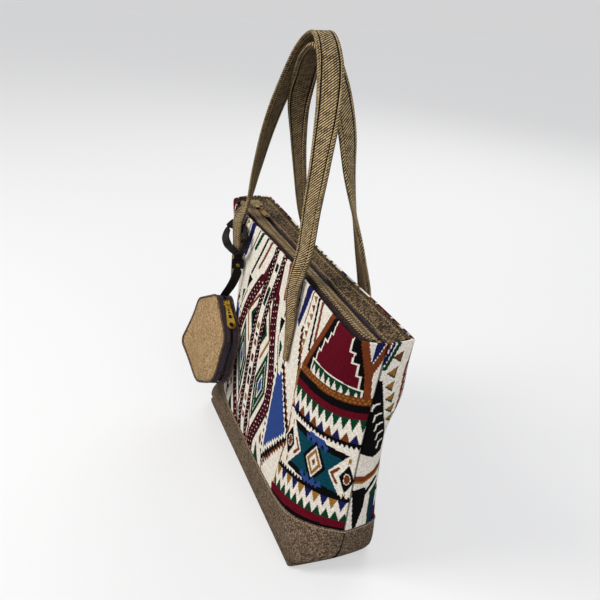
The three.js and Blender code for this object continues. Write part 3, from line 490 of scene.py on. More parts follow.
def weave_end(cloth):
    """The back cloth beside the side seam: a black band with cream hooks, and a forked stem."""
    cloth.fill(cloth.m < 37, CREAM)
    for path, width, colour in (
        ([(3, 300), (-3, 268)], 5, RUST),
        ([(9, 300), (0, 262)], 3, NAVY),
        ([(15, 300), (3, 258)], 4, GREEN),
        ([(30, 300), (27, 250), (34, 190)], 3.5, RUST),
        ([(34, 300), (31, 250), (37, 200)], 3, BLACK),
    ):
        cloth.line(path, width, colour)
    for m0, v0, colour in (
        (13, 270, RUST), (11, 252, OCHRE), (13, 236, OCHRE),
        (17, 221, OCHRE), (21, 207, OCHRE), (25, 194, OCHRE),
    ):
        cloth.patch([(m0 - 5, v0), (m0 + 5, v0 + 7), (m0 + 5, v0 - 7)], GREEN)
        cloth.patch([(m0 - 4, v0 + 1), (m0 + 4, v0 + 6), (m0 + 4, v0 - 4)], colour)
    cloth.patch([(-2, 246), (4, 244), (17, 200), (33, 162), (30, 149), (18, 146), (-2, 158)], BLACK)
    for hook in range(5):
        m0, v0 = 1 + 5 * hook, 216 - 13 * hook
        cloth.line([(m0, v0 - 7), (m0 + 1, v0), (m0 + 7, v0 + 1)], 2.4, CREAM)
    cloth.line([(-2, 125), (12, 120), (26, 124), (38, 134)], 8, RUST)
    cloth.line([(-2, 121), (12, 116), (26, 120), (38, 130)], 2.6, OCHRE)
    cloth.line([(4, 106), (14, 96), (30, 114)], 5, BLACK)
    cloth.patch([(0, 110), (17, 108), (19, 84), (12, 52), (9, 52)], BLACK)
    cloth.patch([(25, 98), (37, 110), (37, 50), (27, 50)], GREEN)
    cloth.patch([(30, 86), (37, 94), (37, 50), (31, 50)], NAVY)


BLOCKS = (weave_sail, weave_leaf, weave_niche, weave_bands, weave_star, weave_foot)


def new_group(name, inputs, outputs):
    """A shader group with a vector and numbers in and numbers out: its tree, what comes in, what goes out,
    the vector's two ways over the cloth, and a function that adds a step of arithmetic."""
    tree = bpy.data.node_groups.new(name, "ShaderNodeTree")
    tree.interface.new_socket("Vector", in_out="INPUT", socket_type="NodeSocketVector")
    for socket in inputs:
        tree.interface.new_socket(socket, in_out="INPUT", socket_type="NodeSocketFloat")
    for socket in outputs:
        tree.interface.new_socket(socket, in_out="OUTPUT", socket_type="NodeSocketFloat")
    entry, result = tree.nodes.new("NodeGroupInput"), tree.nodes.new("NodeGroupOutput")
    parts = tree.nodes.new("ShaderNodeSeparateXYZ")
    tree.links.new(entry.outputs["Vector"], parts.inputs[0])

    def step(operation, *values):
        return math_node(tree.nodes, tree.links, operation, *values)

    return tree, entry.outputs, result.inputs, (parts.outputs["X"], parts.outputs["Y"]), step


def placed_group(nodes, links, tree, vector, **sizes):
    """The outputs of a shader group, placed in a material with sizes of its own."""
    group = nodes.new("ShaderNodeGroup")
    group.node_tree = tree
    links.new(vector, group.inputs["Vector"])
    for socket, value in sizes.items():
        group.inputs[socket].default_value = value
    return group.outputs


def noise_mask(nodes, links, vector, scale, detail=2.0):
    """Soft blotches."""
    noise = nodes.new("ShaderNodeTexNoise")
    noise.inputs["Scale"].default_value = scale
    noise.inputs["Detail"].default_value = detail
    links.new(vector, noise.inputs["Vector"])
    return noise.outputs["Fac"]


def thread_value(nodes, links, first, second):
    """A value of its own for each thread, which two whole numbers pick."""
    place = nodes.new("ShaderNodeCombineXYZ")
    links.new(first, place.inputs["X"])
    links.new(second, place.inputs["Y"])
    pick = nodes.new("ShaderNodeTexWhiteNoise")
    pick.noise_dimensions = "2D"
    links.new(place.outputs[0], pick.inputs["Vector"])
    return pick.outputs["Value"]


# Shade of the plain weave: the least of it, what soft blotches add and what each thread adds
LEAST_SHADE, BLOTCH_SHADE, THREAD_SHADE = 0.66, 0.3, 0.34
BLOTCH_SCALE, BLOTCH_DETAIL = 0.3, 3


def weave_group():
    """Plain weave of thick threads. Vector in millimetres, pitch of the threads; height and shade."""
    tree, entry, result, ways, step = new_group("plain_weave", ["Pitch"], ["Height", "Shade"])
    turn = step("DIVIDE", math.pi, entry["Pitch"])
    waves = [step("SINE", step("MULTIPLY", way, turn)) for way in ways]
    cells = [step("FLOOR", step("DIVIDE", way, entry["Pitch"])) for way in ways]
    own = thread_value(tree.nodes, tree.links, *cells)
    blotch = noise_mask(tree.nodes, tree.links, entry["Vector"], BLOTCH_SCALE, BLOTCH_DETAIL)
    soft = step("MULTIPLY_ADD", blotch, BLOTCH_SHADE, LEAST_SHADE)
    tree.links.new(step("MULTIPLY_ADD", own, THREAD_SHADE, soft), result["Shade"])
    tree.links.new(step("ABSOLUTE", step("MULTIPLY", *waves)), result["Height"])
    return tree


plain_weave = weave_group()


def cloth_vector(nodes):
    source = nodes.new("ShaderNodeUVMap")
    source.uv_map = "cloth"
    return source.outputs["UV"]


def bump_into(nodes, links, shader, height, distance, strength):
    bump = nodes.new("ShaderNodeBump")
    bump.inputs["Strength"].default_value = strength
    bump.inputs["Distance"].default_value = distance
    links.new(height, bump.inputs["Height"])
    links.new(bump.outputs["Normal"], shader.inputs["Normal"])


jacquard, nodes, links, shader = material_tree("jacquard", 0.9)
weave = placed_group(nodes, links, plain_weave, cloth_vector(nodes), Pitch=1.25)
pattern = nodes.new("ShaderNodeVertexColor")
pattern.layer_name = "weave"
tint = nodes.new("ShaderNodeVectorMath")
tint.operation = "SCALE"
links.new(pattern.outputs["Color"], tint.inputs[0])
links.new(weave["Shade"], tint.inputs["Scale"])
links.new(tint.outputs[0], shader.inputs["Base Color"])
bump_into(nodes, links, shader, weave["Height"], 0.0006, 0.7)
shader.inputs["Specular IOR Level"].default_value = 0.05

PANEL_COLUMNS, PANEL_ROWS = 401, 221
PANEL_TUCK = 4.0
# The rim leans in over its last stretch, turns over a crest and ends in a hem behind
RIM_LEAN, RIM_STRETCH = 0.5, 3.0
RIM_FOLD, RIM_CREST, RIM_HEM = 2.2, 0.3, 3.0
CREST_CLOTH, HEM_CLOTH = 2.0, 5.0
# The side seams draw the cloth in, and a narrow strip of cloth along them is darkened as painted shade in the
# crease
SEAM_DRAW, SEAM_SPREAD = 1.6, 1.5
SEAM_CREASE, SEAM_SHADE = 1.1, 0.25
# Beside the seams the back cloth has a strip that the front one lacks
END_CLOTH = 36.0


def panel(name, side):
    shares, lengths = thread_tables(side, PANEL_COLUMNS)
    foot = base_top(shares[len(shares) // 2]) - PANEL_TUCK
    level = np.linspace(0, 1, PANEL_ROWS)[:, None]
    z = foot[None, :] + (BAG_HEIGHT - foot[None, :]) * level
    share = at_height(shares, z)
    points = wall(side, share, z)
    total = at_height(lengths, z)
    along = np.linspace(0, 1, PANEL_COLUMNS)[None, :] * total
    seam = np.exp(-(np.minimum(along, total - along) / SEAM_SPREAD) ** 2)
    points[..., 0] -= np.sign(share) * SEAM_DRAW * seam
    rim = np.clip((z - BAG_HEIGHT + RIM_STRETCH) / RIM_STRETCH, 0, 1) ** 2
    points[..., 1] -= side * RIM_LEAN * rim
    turned = [wall(side, share[-1:], z[-1:] - drop, RIM_FOLD) for drop in (RIM_CREST, RIM_HEM)]
    points = np.concatenate([points, *turned])
    uv = np.stack([along, z], -1)
    uv = np.concatenate([uv, uv[-1:] + (0, CREST_CLOTH), uv[-1:] + (0, HEM_CLOTH)])
    faces = grid_faces(len(points), PANEL_COLUMNS)
    middle, up = uv.reshape(-1, 2)[faces].mean(1).T
    run = np.where(middle < PATTERN_AXIS, middle, 2 * PATTERN_AXIS - middle)
    cloth = Weaving(run if side == FRONT else run - END_CLOTH, up)
    for block in BLOCKS:
        block(cloth)
    if side == FRONT:
        faces = faces[:, ::-1]
    else:
        end = Weaving(run, up)
        weave_end(end)
        cloth.colour = np.where((run < END_CLOTH)[:, None], end.colour, cloth.colour)
    # Painted shade in the side seams' crease: the cloth within its width is darkened
    from_seam = np.minimum(middle, at_height(lengths, np.minimum(up, BAG_HEIGHT)) - middle)
    cloth.colour[from_seam < SEAM_CREASE] *= SEAM_SHADE
    piece = cloth_piece(name, points, faces, jacquard, uv, cloth.colour)
    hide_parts(name.replace("_cloth", ""))
    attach(piece, "bag")


panel("front_panel_cloth", FRONT)
panel("back_panel_cloth", BACK)

# Base: a boat-shaped tub of brown twill, sewn over the foot of the panels with one line of thread.
# Its bottom is flat and its upper edge rises towards the side seams. At the foot its front corners are
# squarer than the back ones.
TWILL_SLOPE = (0.8, 0.6)
# The threads that float over the others: their length in ridges, and the shift from ridge to ridge
FLOAT_LENGTH, FLOAT_SHIFT = 1.8, 0.37
# How far a float's ends are sunk, the mean relief, the mean shade and the share of worn blotches in it
FLOAT_SUNK, MEAN_RELIEF = 0.2, 0.59
MEAN_SHADE, WORN_SHADE, WORN_SCALE = 0.55, 0.15, 0.04


def twill_group():
    """Coarse twill of mixed threads. Vector in millimetres and pitch of the ridges. Fleck says how far the
    threads differ, Ridge how much painted shade darkens the cloth between the ridges and painted light
    brightens their crowns. Shade picks the thread and carries that painted light and shade; height is the
    relief."""
    numbers_in, numbers_out = ["Pitch", "Fleck", "Ridge"], ["Shade", "Height"]
    tree, entry, result, (along, across), step = new_group("coarse_twill", numbers_in, numbers_out)
    up = step("MULTIPLY_ADD", along, TWILL_SLOPE[0], step("MULTIPLY", across, TWILL_SLOPE[1]))
    down = step("MULTIPLY_ADD", along, -TWILL_SLOPE[1], step("MULTIPLY", across, TWILL_SLOPE[0]))
    ridge_place = step("DIVIDE", up, entry["Pitch"])
    ridge = step("FLOOR", ridge_place)
    float_place = step("DIVIDE", down, step("MULTIPLY", entry["Pitch"], FLOAT_LENGTH))
    float_place = step("MULTIPLY_ADD", ridge, FLOAT_SHIFT, float_place)
    crown = step("SINE", step("MULTIPLY", step("FRACT", ridge_place), math.pi))
    end = step("SINE", step("MULTIPLY", step("FRACT", float_place), math.pi))
    own = thread_value(tree.nodes, tree.links, ridge, step("FLOOR", float_place))
    worn = noise_mask(tree.nodes, tree.links, entry["Vector"], WORN_SCALE)
    relief = step("MULTIPLY", crown, step("ADD", step("MULTIPLY", end, FLOAT_SUNK), 1 - FLOAT_SUNK))
    shade = step("MULTIPLY", step("SUBTRACT", worn, 0.5), WORN_SHADE)
    shade = step("MULTIPLY_ADD", step("SUBTRACT", own, 0.5), entry["Fleck"], shade)
    # Painted shade between the ridges and painted light on their crowns, taken from the relief
    shade = step("MULTIPLY_ADD", step("SUBTRACT", relief, MEAN_RELIEF), entry["Ridge"], shade)
    tree.links.new(step("ADD", shade, MEAN_SHADE), result["Shade"])
    tree.links.new(relief, result["Height"])
    return tree


coarse_twill = twill_group()


def colours_into(nodes, links, shader, mask, colours, start=0.0, end=1.0):
    """The surface's colour: colours as light, spread evenly over a mask from start to end."""
    ramp = nodes.new("ShaderNodeValToRGB")
    stops = ramp.color_ramp.elements
    while len(stops) < len(colours):
        stops.new(0.5)
    for stop, place, colour in zip(stops, np.linspace(start, end, len(colours)), colours):
        stop.position = place
        stop.color = (*colour, 1)
    links.new(mask, ramp.inputs["Fac"])
    links.new(ramp.outputs["Color"], shader.inputs["Base Color"])


def twill_material(name, pitch, fleck, ridge, colours):
    """Twill of pale threads over dark ones, darker between the ridges as painted shade. colours: from the
    darkest thread to the palest.
    """
    material, nodes, links, shader = material_tree(name, 0.9)
    sizes = {"Pitch": pitch, "Fleck": fleck, "Ridge": ridge}
    twill = placed_group(nodes, links, coarse_twill, cloth_vector(nodes), **sizes)
    colours_into(nodes, links, shader, twill["Shade"], linear(colours), 0.05, 0.95)
    bump_into(nodes, links, shader, twill["Height"], 0.0006, 0.8)
    shader.inputs["Specular IOR Level"].default_value = 0.2
    return material


base_twill = twill_material(
    "base_twill", 0.8, 0.7, 0.2, [(36, 27, 20), (75, 60, 47), (106, 87, 69), (162, 141, 114)])
# A dark twill that paints the shade in creases: beside the base's side seams and in the straps' stitched
# grooves
crease_shade_twill = twill_material("crease_shade_twill", 1.2, 0.3, 0.3, [(12, 9, 7), (28, 21, 16), (46, 36, 28)])
BASE_COLUMNS, SEAM_STEP = 181, 0.002
BASE_PROUD = 0.6
# Rows of the base: its welted hem as rise above its upper edge and inset, its walls as levels of its height,
# its rounded foot as height and inset, and its bottom as shares of the way out from the middle line
HEM_ROWS = [(-3.5, 1.4), (-0.4, 0.5), (0.3, 0.0), (0.2, -0.5), (-1.0, -0.9), (-2.6, -0.55), (-4.2, -0.8)]
WALL_ROWS = np.linspace(0.88, 0.2, 12)
FOOT_ROWS = [(4.0, 0.0), (2.0, 0.1), (0.8, 0.35), (0.2, 0.8), (0.0, 1.4)]
BOTTOM_ROWS = (0.7, 0.4, 0.0)
# How long the middle line is, as a share of the bottom's length, and what is left of it
MIDDLE_LINE, PAST_MIDDLE_LINE = 0.9, 0.1
# Levels of the thread tables within the base's walls and at its foot, and the row that measures its girth
WALL_LEVEL, FOOT_LEVEL, GIRTH_ROW = 6, 1, 10
END_CREASE = 2.0
front_shares = thread_tables(FRONT, BASE_COLUMNS, SEAM_STEP)[0]
back_shares = thread_tables(BACK, BASE_COLUMNS, SEAM_STEP)[0][:, -2:0:-1]


def base_ring(table_level, level, rise, inset):
    """A line round the base at a level of its own height and a rise above that: along the front to the far
    seam, and back along the back."""
    halves = []
    for side, shares in ((FRONT, front_shares), (BACK, back_shares)):
        share = shares[table_level]
        halves.append(wall(side, share, base_top(share) * level + rise, inset))
    return halves


base_rows = [base_ring(WALL_LEVEL, 1.0, rise, inset) for rise, inset in HEM_ROWS]
base_rows += [base_ring(WALL_LEVEL, level, 0.0, -BASE_PROUD * level) for level in WALL_ROWS]
base_rows += [base_ring(FOOT_LEVEL, 0.0, height, inset) for height, inset in FOOT_ROWS]
base_rows = [np.concatenate(halves) for halves in base_rows]
lowest = base_rows[-1]
base_rows += [lowest * (MIDDLE_LINE + PAST_MIDDLE_LINE * part, part, 0) for part in BOTTOM_ROWS]
base_grid = np.array(base_rows)
ring_size = base_grid.shape[1]
far_seam = front_shares.shape[1] - 1
base_grid[:-len(BOTTOM_ROWS), 0, 0] -= END_CREASE
base_grid[:-len(BOTTOM_ROWS), far_seam, 0] += END_CREASE
ring_run = run_along(base_grid[GIRTH_ROW])
row_steps = np.linalg.norm(np.diff(base_grid, axis=0), axis=2)
row_run = np.cumsum(np.r_[np.zeros((1, ring_size)), row_steps], axis=0).mean(1)
base_uv = np.stack(np.broadcast_arrays(ring_run[None, :], row_run[:, None]), -1)
base_faces = grid_faces(*base_grid.shape[:2], closed=True)
base_cloth = cloth_piece("base_cloth", base_grid, base_faces, base_twill, base_uv)
# The faces beside both side seams take the dark twill as painted shade in the crease
base_cloth.data.materials.append(crease_shade_twill)
for face in base_cloth.data.polygons:
    face.material_index = int(face.index % ring_size in (0, ring_size - 1, far_seam - 1, far_seam))
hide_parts("base")
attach(base_cloth, "bag")


def stitch_group():
    """Thread along lines: a long bead at each pitch of the line, turned along it."""
    tree = bpy.data.node_groups.new("running_stitch", "GeometryNodeTree")
    tree.is_modifier = True
    sockets = (
        ("Geometry", "NodeSocketGeometry"), ("Pitch", "NodeSocketFloat"), ("Length", "NodeSocketFloat"),
        ("Radius", "NodeSocketFloat"), ("Thread", "NodeSocketMaterial"),
    )
    for name, kind in sockets:
        tree.interface.new_socket(name, in_out="INPUT", socket_type=kind)
    tree.interface.new_socket("Geometry", in_out="OUTPUT", socket_type="NodeSocketGeometry")
    nodes, links = tree.nodes, tree.links
    entry, result = nodes.new("NodeGroupInput"), nodes.new("NodeGroupOutput")
    curve = nodes.new("GeometryNodeMeshToCurve")
    places = nodes.new("GeometryNodeCurveToPoints")
    places.mode = "LENGTH"
    bead = nodes.new("GeometryNodeMeshUVSphere")
    for socket, value in (("Segments", 6), ("Rings", 4), ("Radius", 1)):
        bead.inputs[socket].default_value = value
    size = nodes.new("ShaderNodeCombineXYZ")
    spread = nodes.new("GeometryNodeInstanceOnPoints")
    real = nodes.new("GeometryNodeRealizeInstances")
    coat = nodes.new("GeometryNodeSetMaterial")
    for source, output, target, socket in (
        (entry, "Geometry", curve, "Mesh"), (curve, "Curve", places, "Curve"),
        (entry, "Pitch", places, "Length"),
        (entry, "Radius", size, "X"), (entry, "Radius", size, "Y"), (entry, "Length", size, "Z"),
        (places, "Points", spread, "Points"), (places, "Rotation", spread, "Rotation"),
        (bead, "Mesh", spread, "Instance"), (size, "Vector", spread, "Scale"),
        (spread, "Instances", real, "Geometry"), (real, "Geometry", coat, "Geometry"),
        (entry, "Thread", coat, "Material"), (coat, "Geometry", result, "Geometry"),
    ):
        links.new(source.outputs[output], target.inputs[socket])
    return tree


running_stitch = stitch_group()

# How closely the plies of a thread are twisted, and how much painted shade darkens it between them
PLY_SCALE, PLY_SHADE = 900, 0.6


def thread_material(name, colour):
    """Sewing thread: two plies twisted round each other."""
    material, nodes, links, shader = material_tree(name, 0.7)
    ply = nodes.new("ShaderNodeTexWave")
    ply.bands_direction = "DIAGONAL"
    ply.inputs["Scale"].default_value = PLY_SCALE
    place = nodes.new("ShaderNodeTexCoord")
    links.new(place.outputs["Object"], ply.inputs["Vector"])
    # Painted shade between the plies
    colours_into(nodes, links, shader, ply.outputs["Fac"], (linear(colour) * PLY_SHADE, linear(colour)))
    return material


def sew(name, lines, body, thread, pitch=4.2, length=3.0, radius=0.38):
    """A piece of thread along lines of points in millimetres."""
    points, edges = [], []
    for line in lines:
        edges += [(len(points) + i, len(points) + i + 1) for i in range(len(line) - 1)]
        points += [tuple(np.asarray(point) * MM) for point in line]
    mesh = bpy.data.meshes.new(name + "_line")
    mesh.from_pydata(points, edges, [])
    guide = bpy.data.objects.new(name + "_line", mesh)
    scene.collection.objects.link(guide)
    modifier = guide.modifiers.new("stitch", "NODES")
    modifier.node_group = running_stitch
    sizes = {"Pitch": pitch * MM, "Length": length * MM / 2, "Radius": radius * MM, "Thread": thread}
    for item in running_stitch.interface.items_tree:
        if item.in_out == "INPUT" and item.name in sizes:
            modifier[item.identifier] = sizes[item.name]
    evaluated = guide.evaluated_get(bpy.context.evaluated_depsgraph_get())
    sewn = bpy.data.meshes.new_from_object(evaluated)
    sewn.name = name
    sewn.polygons.foreach_set("use_smooth", [True] * len(sewn.polygons))
    bpy.data.objects.remove(guide)
    piece = bpy.data.objects.new(name, sewn)
    scene.collection.objects.link(piece)
    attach(piece, body)


BASE_STITCH_DROP, BASE_STITCH_PROUD = 1.2, 1.0
base_seam = base_ring(WALL_LEVEL, 1.0, -BASE_STITCH_DROP, -BASE_STITCH_PROUD)
base_thread = thread_material("base_thread", (186, 162, 130))
sew("base_stitches", base_seam, "bag", base_thread, pitch=3.2, length=2.7, radius=0.5)

# Facings: a band of twill round the inside of the rim, one sewn to each panel with a double line of
# stitching close under the rim. The front one is a dark plum twill that paints its own shadow; the back one's
# twill is darker than the straps', partly as painted shade of the recess under the rim.
# Darker than the straps' twill, partly as painted shade of the recess under the rim
shaded_facing_twill = twill_material(
    "shaded_facing_twill", 1.0, 0.7, 0.4, [(12, 8, 6), (42, 32, 22), (78, 61, 42), (146, 122, 90)])
# A dark plum twill: painted shade for the shadowed front facing and the strips' outer walls in the valleys
plum_shade_cloth = twill_material(
    "plum_shade_cloth", 1.1, 0.5, 0.3, [(20, 13, 14), (40, 28, 29), (58, 43, 43), (84, 66, 62)])
# The share of the cloth's width that the caps of a tube take
CAP_CLOTH = 0.3


def loft_piece(name, rings, material, across, stretch=1.0):
    """A closed tube through rings of points, capped at both ends. across: each ring point's place
    round the section in millimetres, with the first one's again at the end. stretch: how far the
    cloth's threads are drawn apart along the tube, one for all or one for each step."""
    rings = np.asarray(rings)
    stations, count = rings.shape[:2]
    along = run_along(rings.mean(1), stretch)
    quads = grid_faces(stations, count, closed=True)
    caps = np.array([np.arange(count)[::-1], np.arange(count) + (stations - 1) * count])
    around = quads[:, :1] % count + (0, 1, 1, 0)
    corners = np.stack([along[quads // count], across[around]], -1)
    flat = rings.reshape(-1, 3)
    a, b, c, d = (flat[quads[:, corner]] for corner in range(4))
    if (a * (np.cross(b, c) + np.cross(c, d))).sum() < 0:
        quads, corners, caps = quads[:, ::-1], corners[:, ::-1], caps[:, ::-1]
    cap_corners = np.stack([np.zeros(caps.shape), CAP_CLOTH * across[caps % count]], -1)
    corner_uv = np.concatenate([corners.reshape(-1, 2), cap_corners.reshape(-1, 2)])
    return mesh_piece(name, flat, quads.tolist() + caps.tolist(), corner_uv, material)


def girth(section):
    """Places round a closed section, with the full girth at the end."""
    section = np.asarray(section, float)
    return run_along(np.r_[section, section[:1]])


FACING_FOOT, FACING_COLUMNS = 46.0, 141
# The two lines of stitching: how far under the rim, and how far inside the panel
FACING_STITCHES, FACING_FACE = (3.6, 9.5), 3.15
facing_section = [
    (-FACING_FOOT, 2.0), (-30, 2.0), (-15, 2.0), (-4, 2.0), (-1.2, 2.1), (-0.5, 2.5), (-1.2, 3.0),
    (-2.6, 3.3), (-3.6, 3.0), (-5.0, 3.3), (-8.0, 3.2), (-15, 3.1), (-30, 3.1), (-FACING_FOOT, 3.1),
]


def rim_line(side, share, rise, inset):
    """A line along a wall at one height from the rim."""
    return wall(side, share, np.full_like(share, BAG_HEIGHT + rise), inset)


def facing(name, side, cloth):
    share = thread_tables(side, FACING_COLUMNS)[0][-1]
    rings = np.stack([rim_line(side, share, rise, inset) for rise, inset in facing_section], 1)
    piece = loft_piece(name, rings[1:-1], cloth, girth(facing_section))
    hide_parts(name.replace("_cloth", ""))
    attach(piece, "bag")
    return [rim_line(side, share[2:-2], -drop, FACING_FACE) for drop in FACING_STITCHES]


strap_thread = thread_material("strap_thread", (196, 168, 112))
facing_lines = facing("front_facing_cloth", FRONT, plum_shade_cloth)
facing_lines += facing("back_facing_cloth", BACK, shaded_facing_twill)
sew("facing_stitches", facing_lines, "bag", strap_thread)

# Zip closure: two folded strips a little under the rim, each sewn to its facing below. The front one is a
# ribbed twill, the back one is the facing's darkened twill, and their outer walls are the dark plum twill
# that paints the valleys' shade. Between them lies the dark zip with its brass slider, and a folded tab ends
# it.
STRIP_TOP = BAG_HEIGHT - 4
STRIP_FOOT = BAG_HEIGHT - 22
STRIP_STATIONS = 161
ZIP_END, BACK_STRIP_END = 184.9, 192.9
STRIP_OPENING, STRIP_THICK = 1.9, 1.4
FACING_INSIDE, STRIP_SEAM = 3.1, 1.0
# The steps round the strip's section that make its outer wall
STRIP_WALL = range(11, 15)


def depth_at(side, x, z, inset):
    """How far a wall lies from the bag's middle plane."""
    share = np.clip(x / (seam_reach(z) - inset), -1, 1)
    return np.abs(wall(side, share, z, inset)[..., 1])


def strip(name, side, far_valley, near_valley, lift, near_end, top_cloth):
    """A strip. Its valleys are the gaps between its outer fold and the facing at the zip's two ends, and its
    lift is how far the outer fold stands higher than a flat strip's."""
    x = np.linspace(-ZIP_END, near_end, STRIP_STATIONS)
    valley = far_valley + (near_valley - far_valley) * (x + ZIP_END) / (2 * ZIP_END)
    fold = depth_at(side, x, np.full_like(x, STRIP_TOP), FACING_INSIDE) - valley
    seam = depth_at(side, x, np.full_like(x, STRIP_FOOT), FACING_INSIDE) - STRIP_SEAM
    uneven = 0.25 * np.sin(x / 19) + 0.2 * np.sin(x / 7.3)
    opening = STRIP_OPENING + 0.6 * lift + uneven
    middle = 0.5 * (opening + fold)
    low = fold + 0.6 * (seam - fold)
    foot = STRIP_FOOT - STRIP_TOP

    def on_strip(y, rise):
        return np.stack([x, side * y, np.full_like(x, STRIP_TOP + rise)], -1)

    # The edge along the zip, the top, the outer fold, the outer wall down to the seam, and back inside
    profile = [
        (opening + 0.5, -1.4), (opening, -0.8), (opening + 0.3, -0.1), (opening + 1.2, 0.15),
        (opening + 2.4, -0.15), (opening + 3.6, 0.2), (middle, 1.3 + 0.4 * lift),
        (fold - 4.2, 1.9 + 0.8 * lift), (fold - 3.0, 1.55 + 0.9 * lift),
        (fold - 1.6, 1.95 + lift), (fold - 0.5, 1.6 + lift), (fold, 0.8 + lift),
        (fold + 0.2 * (seam - fold), -3), (low, -10), (seam, foot),
        (seam - STRIP_THICK, foot), (low - STRIP_THICK, -10), (fold - STRIP_THICK, -2),
        (fold - 3.0, 0.3), (middle, -0.1), (opening + 2, -1.5),
    ]
    rings = np.stack([on_strip(y, rise) for y, rise in profile], 1)
    piece = loft_piece(name, rings, top_cloth, girth(rings[STRIP_STATIONS // 2, :, 1:]))
    # The outer wall's faces take the dark plum twill as painted shade of the valley
    piece.data.materials.append(plum_shade_cloth)
    for face in piece.data.polygons[:-2]:
        face.material_index = int(face.index % len(profile) in STRIP_WALL)
    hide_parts(name.replace("_cloth", ""))
    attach(piece, "bag")
    return [on_strip(opening + 2.4, 0.05), on_strip(fold - 3.0, 1.75 + 0.9 * lift)]


strip_twill = twill_material(
    "strip_twill", 3.0, 0.3, 1.3, [(10, 7, 5), (38, 29, 20), (76, 60, 42), (160, 136, 98)])
strip_lines = strip(
    "front_zip_strip_cloth", FRONT, far_valley=5.5, near_valley=10.5, lift=0.0,
    near_end=ZIP_END, top_cloth=strip_twill,
)
strip_lines += strip(
    "back_zip_strip_cloth", BACK, far_valley=2.8, near_valley=2.8, lift=1.7,
    near_end=BACK_STRIP_END, top_cloth=shaded_facing_twill,
)
sew("strip_stitches", strip_lines, "bag", strap_thread)


def object_vector(nodes, links):
    """Places on the object, in millimetres."""
    place = nodes.new("ShaderNodeTexCoord")
    mapping = nodes.new("ShaderNodeMapping")
    mapping.inputs["Scale"].default_value = (1 / MM, 1 / MM, 1 / MM)
    links.new(place.outputs["Object"], mapping.inputs["Vector"])
    return mapping.outputs["Vector"]


def dress(node, material):
    """Gives a CAD node that stays in view its material."""
    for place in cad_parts[node].material_slots:
        place.material = material


JOIN_WITHIN = 0.005


def soften(node, width, steps):
    """Rounds a CAD node's sharp edges. Its loose triangles are joined first."""
    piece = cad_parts[node]
    joined = piece.modifiers.new("joined", "WELD")
    joined.merge_threshold = JOIN_WITHIN * MM
    edge = piece.modifiers.new("soft_edge", "BEVEL")
    edge.width = width * MM
    edge.segments = steps
    edge.limit_method = "ANGLE"


zip_tape, nodes, links, shader = material_tree("zip_tape", 0.75)
rib = nodes.new("ShaderNodeTexWave")
rib.inputs["Scale"].default_value = 0.35
rib.inputs["Distortion"].default_value = 0.6
links.new(object_vector(nodes, links), rib.inputs["Vector"])
colours_into(nodes, links, shader, rib.outputs["Fac"], linear([(26, 18, 26), (54, 40, 52)]))
bump_into(nodes, links, shader, rib.outputs["Fac"], 0.0002, 0.5)
for node in ("front_zip_tape", "back_zip_tape"):
    dress(node, zip_tape)


def brass_material(name, roughness, scale, detail, colours, relief=0.0):
    """Brass with blotches of tarnish, in relief where a depth is given."""
    material, nodes, links, shader = material_tree(name, roughness)
    shader.inputs["Metallic"].default_value = 1.0
    tarnish = noise_mask(nodes, links, object_vector(nodes, links), scale, detail)
    colours_into(nodes, links, shader, tarnish, linear(colours))
    if relief:
        bump_into(nodes, links, shader, tarnish, relief, 0.3)
    return material


dark_brass = brass_material("dark_brass", 0.45, 0.9, 2, [(74, 54, 26), (156, 122, 60)])
for node in ("zip_slider", "zip_pull", "zip_end_stop"):
    dress(node, dark_brass)
    soften(node, width=0.2, steps=2)

strap_twill = twill_material(
    "strap_twill", 2.05, 0.35, 1.4, [(11, 7, 5), (38, 29, 19), (86, 69, 46), (194, 170, 126)])
TAB_FROM, TAB_TO, TAB_STATIONS = -182.2, -158.2, 15
TAB_HALF, TAB_THICK, TAB_MIDDLE = 6.5, 1.6, 284.9
TAB_STITCH, TAB_STITCH_Z = 4.55, 286.2
tab_section = [
    (-1.0, 0.0), (-0.96, 0.8), (-0.84, 1.1), (-0.7, 0.75), (-0.5, 1.0), (0, 1.05), (0.5, 1.0), (0.7, 0.75),
    (0.84, 1.1), (0.96, 0.8), (1.0, 0.0), (0.94, -0.9), (0, -1.0), (-0.94, -0.9),
]
tab_x = np.linspace(TAB_FROM, TAB_TO, TAB_STATIONS)
tab_nose = 1 - np.minimum((tab_x - TAB_FROM) / TAB_THICK, 1)
tab_thick = TAB_THICK * np.sqrt(np.clip(1 - tab_nose ** 2, 0.08, 1))
tab_rings = [
    [(x, TAB_HALF * a, TAB_MIDDLE + thick * o) for a, o in tab_section]
    for x, thick in zip(tab_x, tab_thick)
]
tab_girth = girth(np.array(tab_section) * (TAB_HALF, TAB_THICK))
tail_tab = loft_piece("zip_tail_tab_cloth", tab_rings, strap_twill, tab_girth)
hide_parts("zip_tail_tab")
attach(tail_tab, "bag")
tab_stitch_x = np.linspace(TAB_FROM + 3, TAB_TO - 1, 6)
tab_lines = [[(x, side * TAB_STITCH, TAB_STITCH_Z) for x in tab_stitch_x] for side in (FRONT, BACK)]
sew("tail_tab_stitches", tab_lines, "bag", strap_thread, pitch=3.6, length=2.4)

# Lining: a loose dark bag of thin plain cloth inside, sewn to the facings.
# It shows only in the dark gap between the strips.
lining_cloth, nodes, links, shader = material_tree("lining", 0.85)
weave = placed_group(nodes, links, plain_weave, object_vector(nodes, links), Pitch=0.7)
colours_into(nodes, links, shader, weave["Shade"], linear([(38, 30, 34), (60, 50, 52)]), 0.7)
bump_into(nodes, links, shader, weave["Height"], 0.0002, 0.5)
dress("lining", lining_cloth)

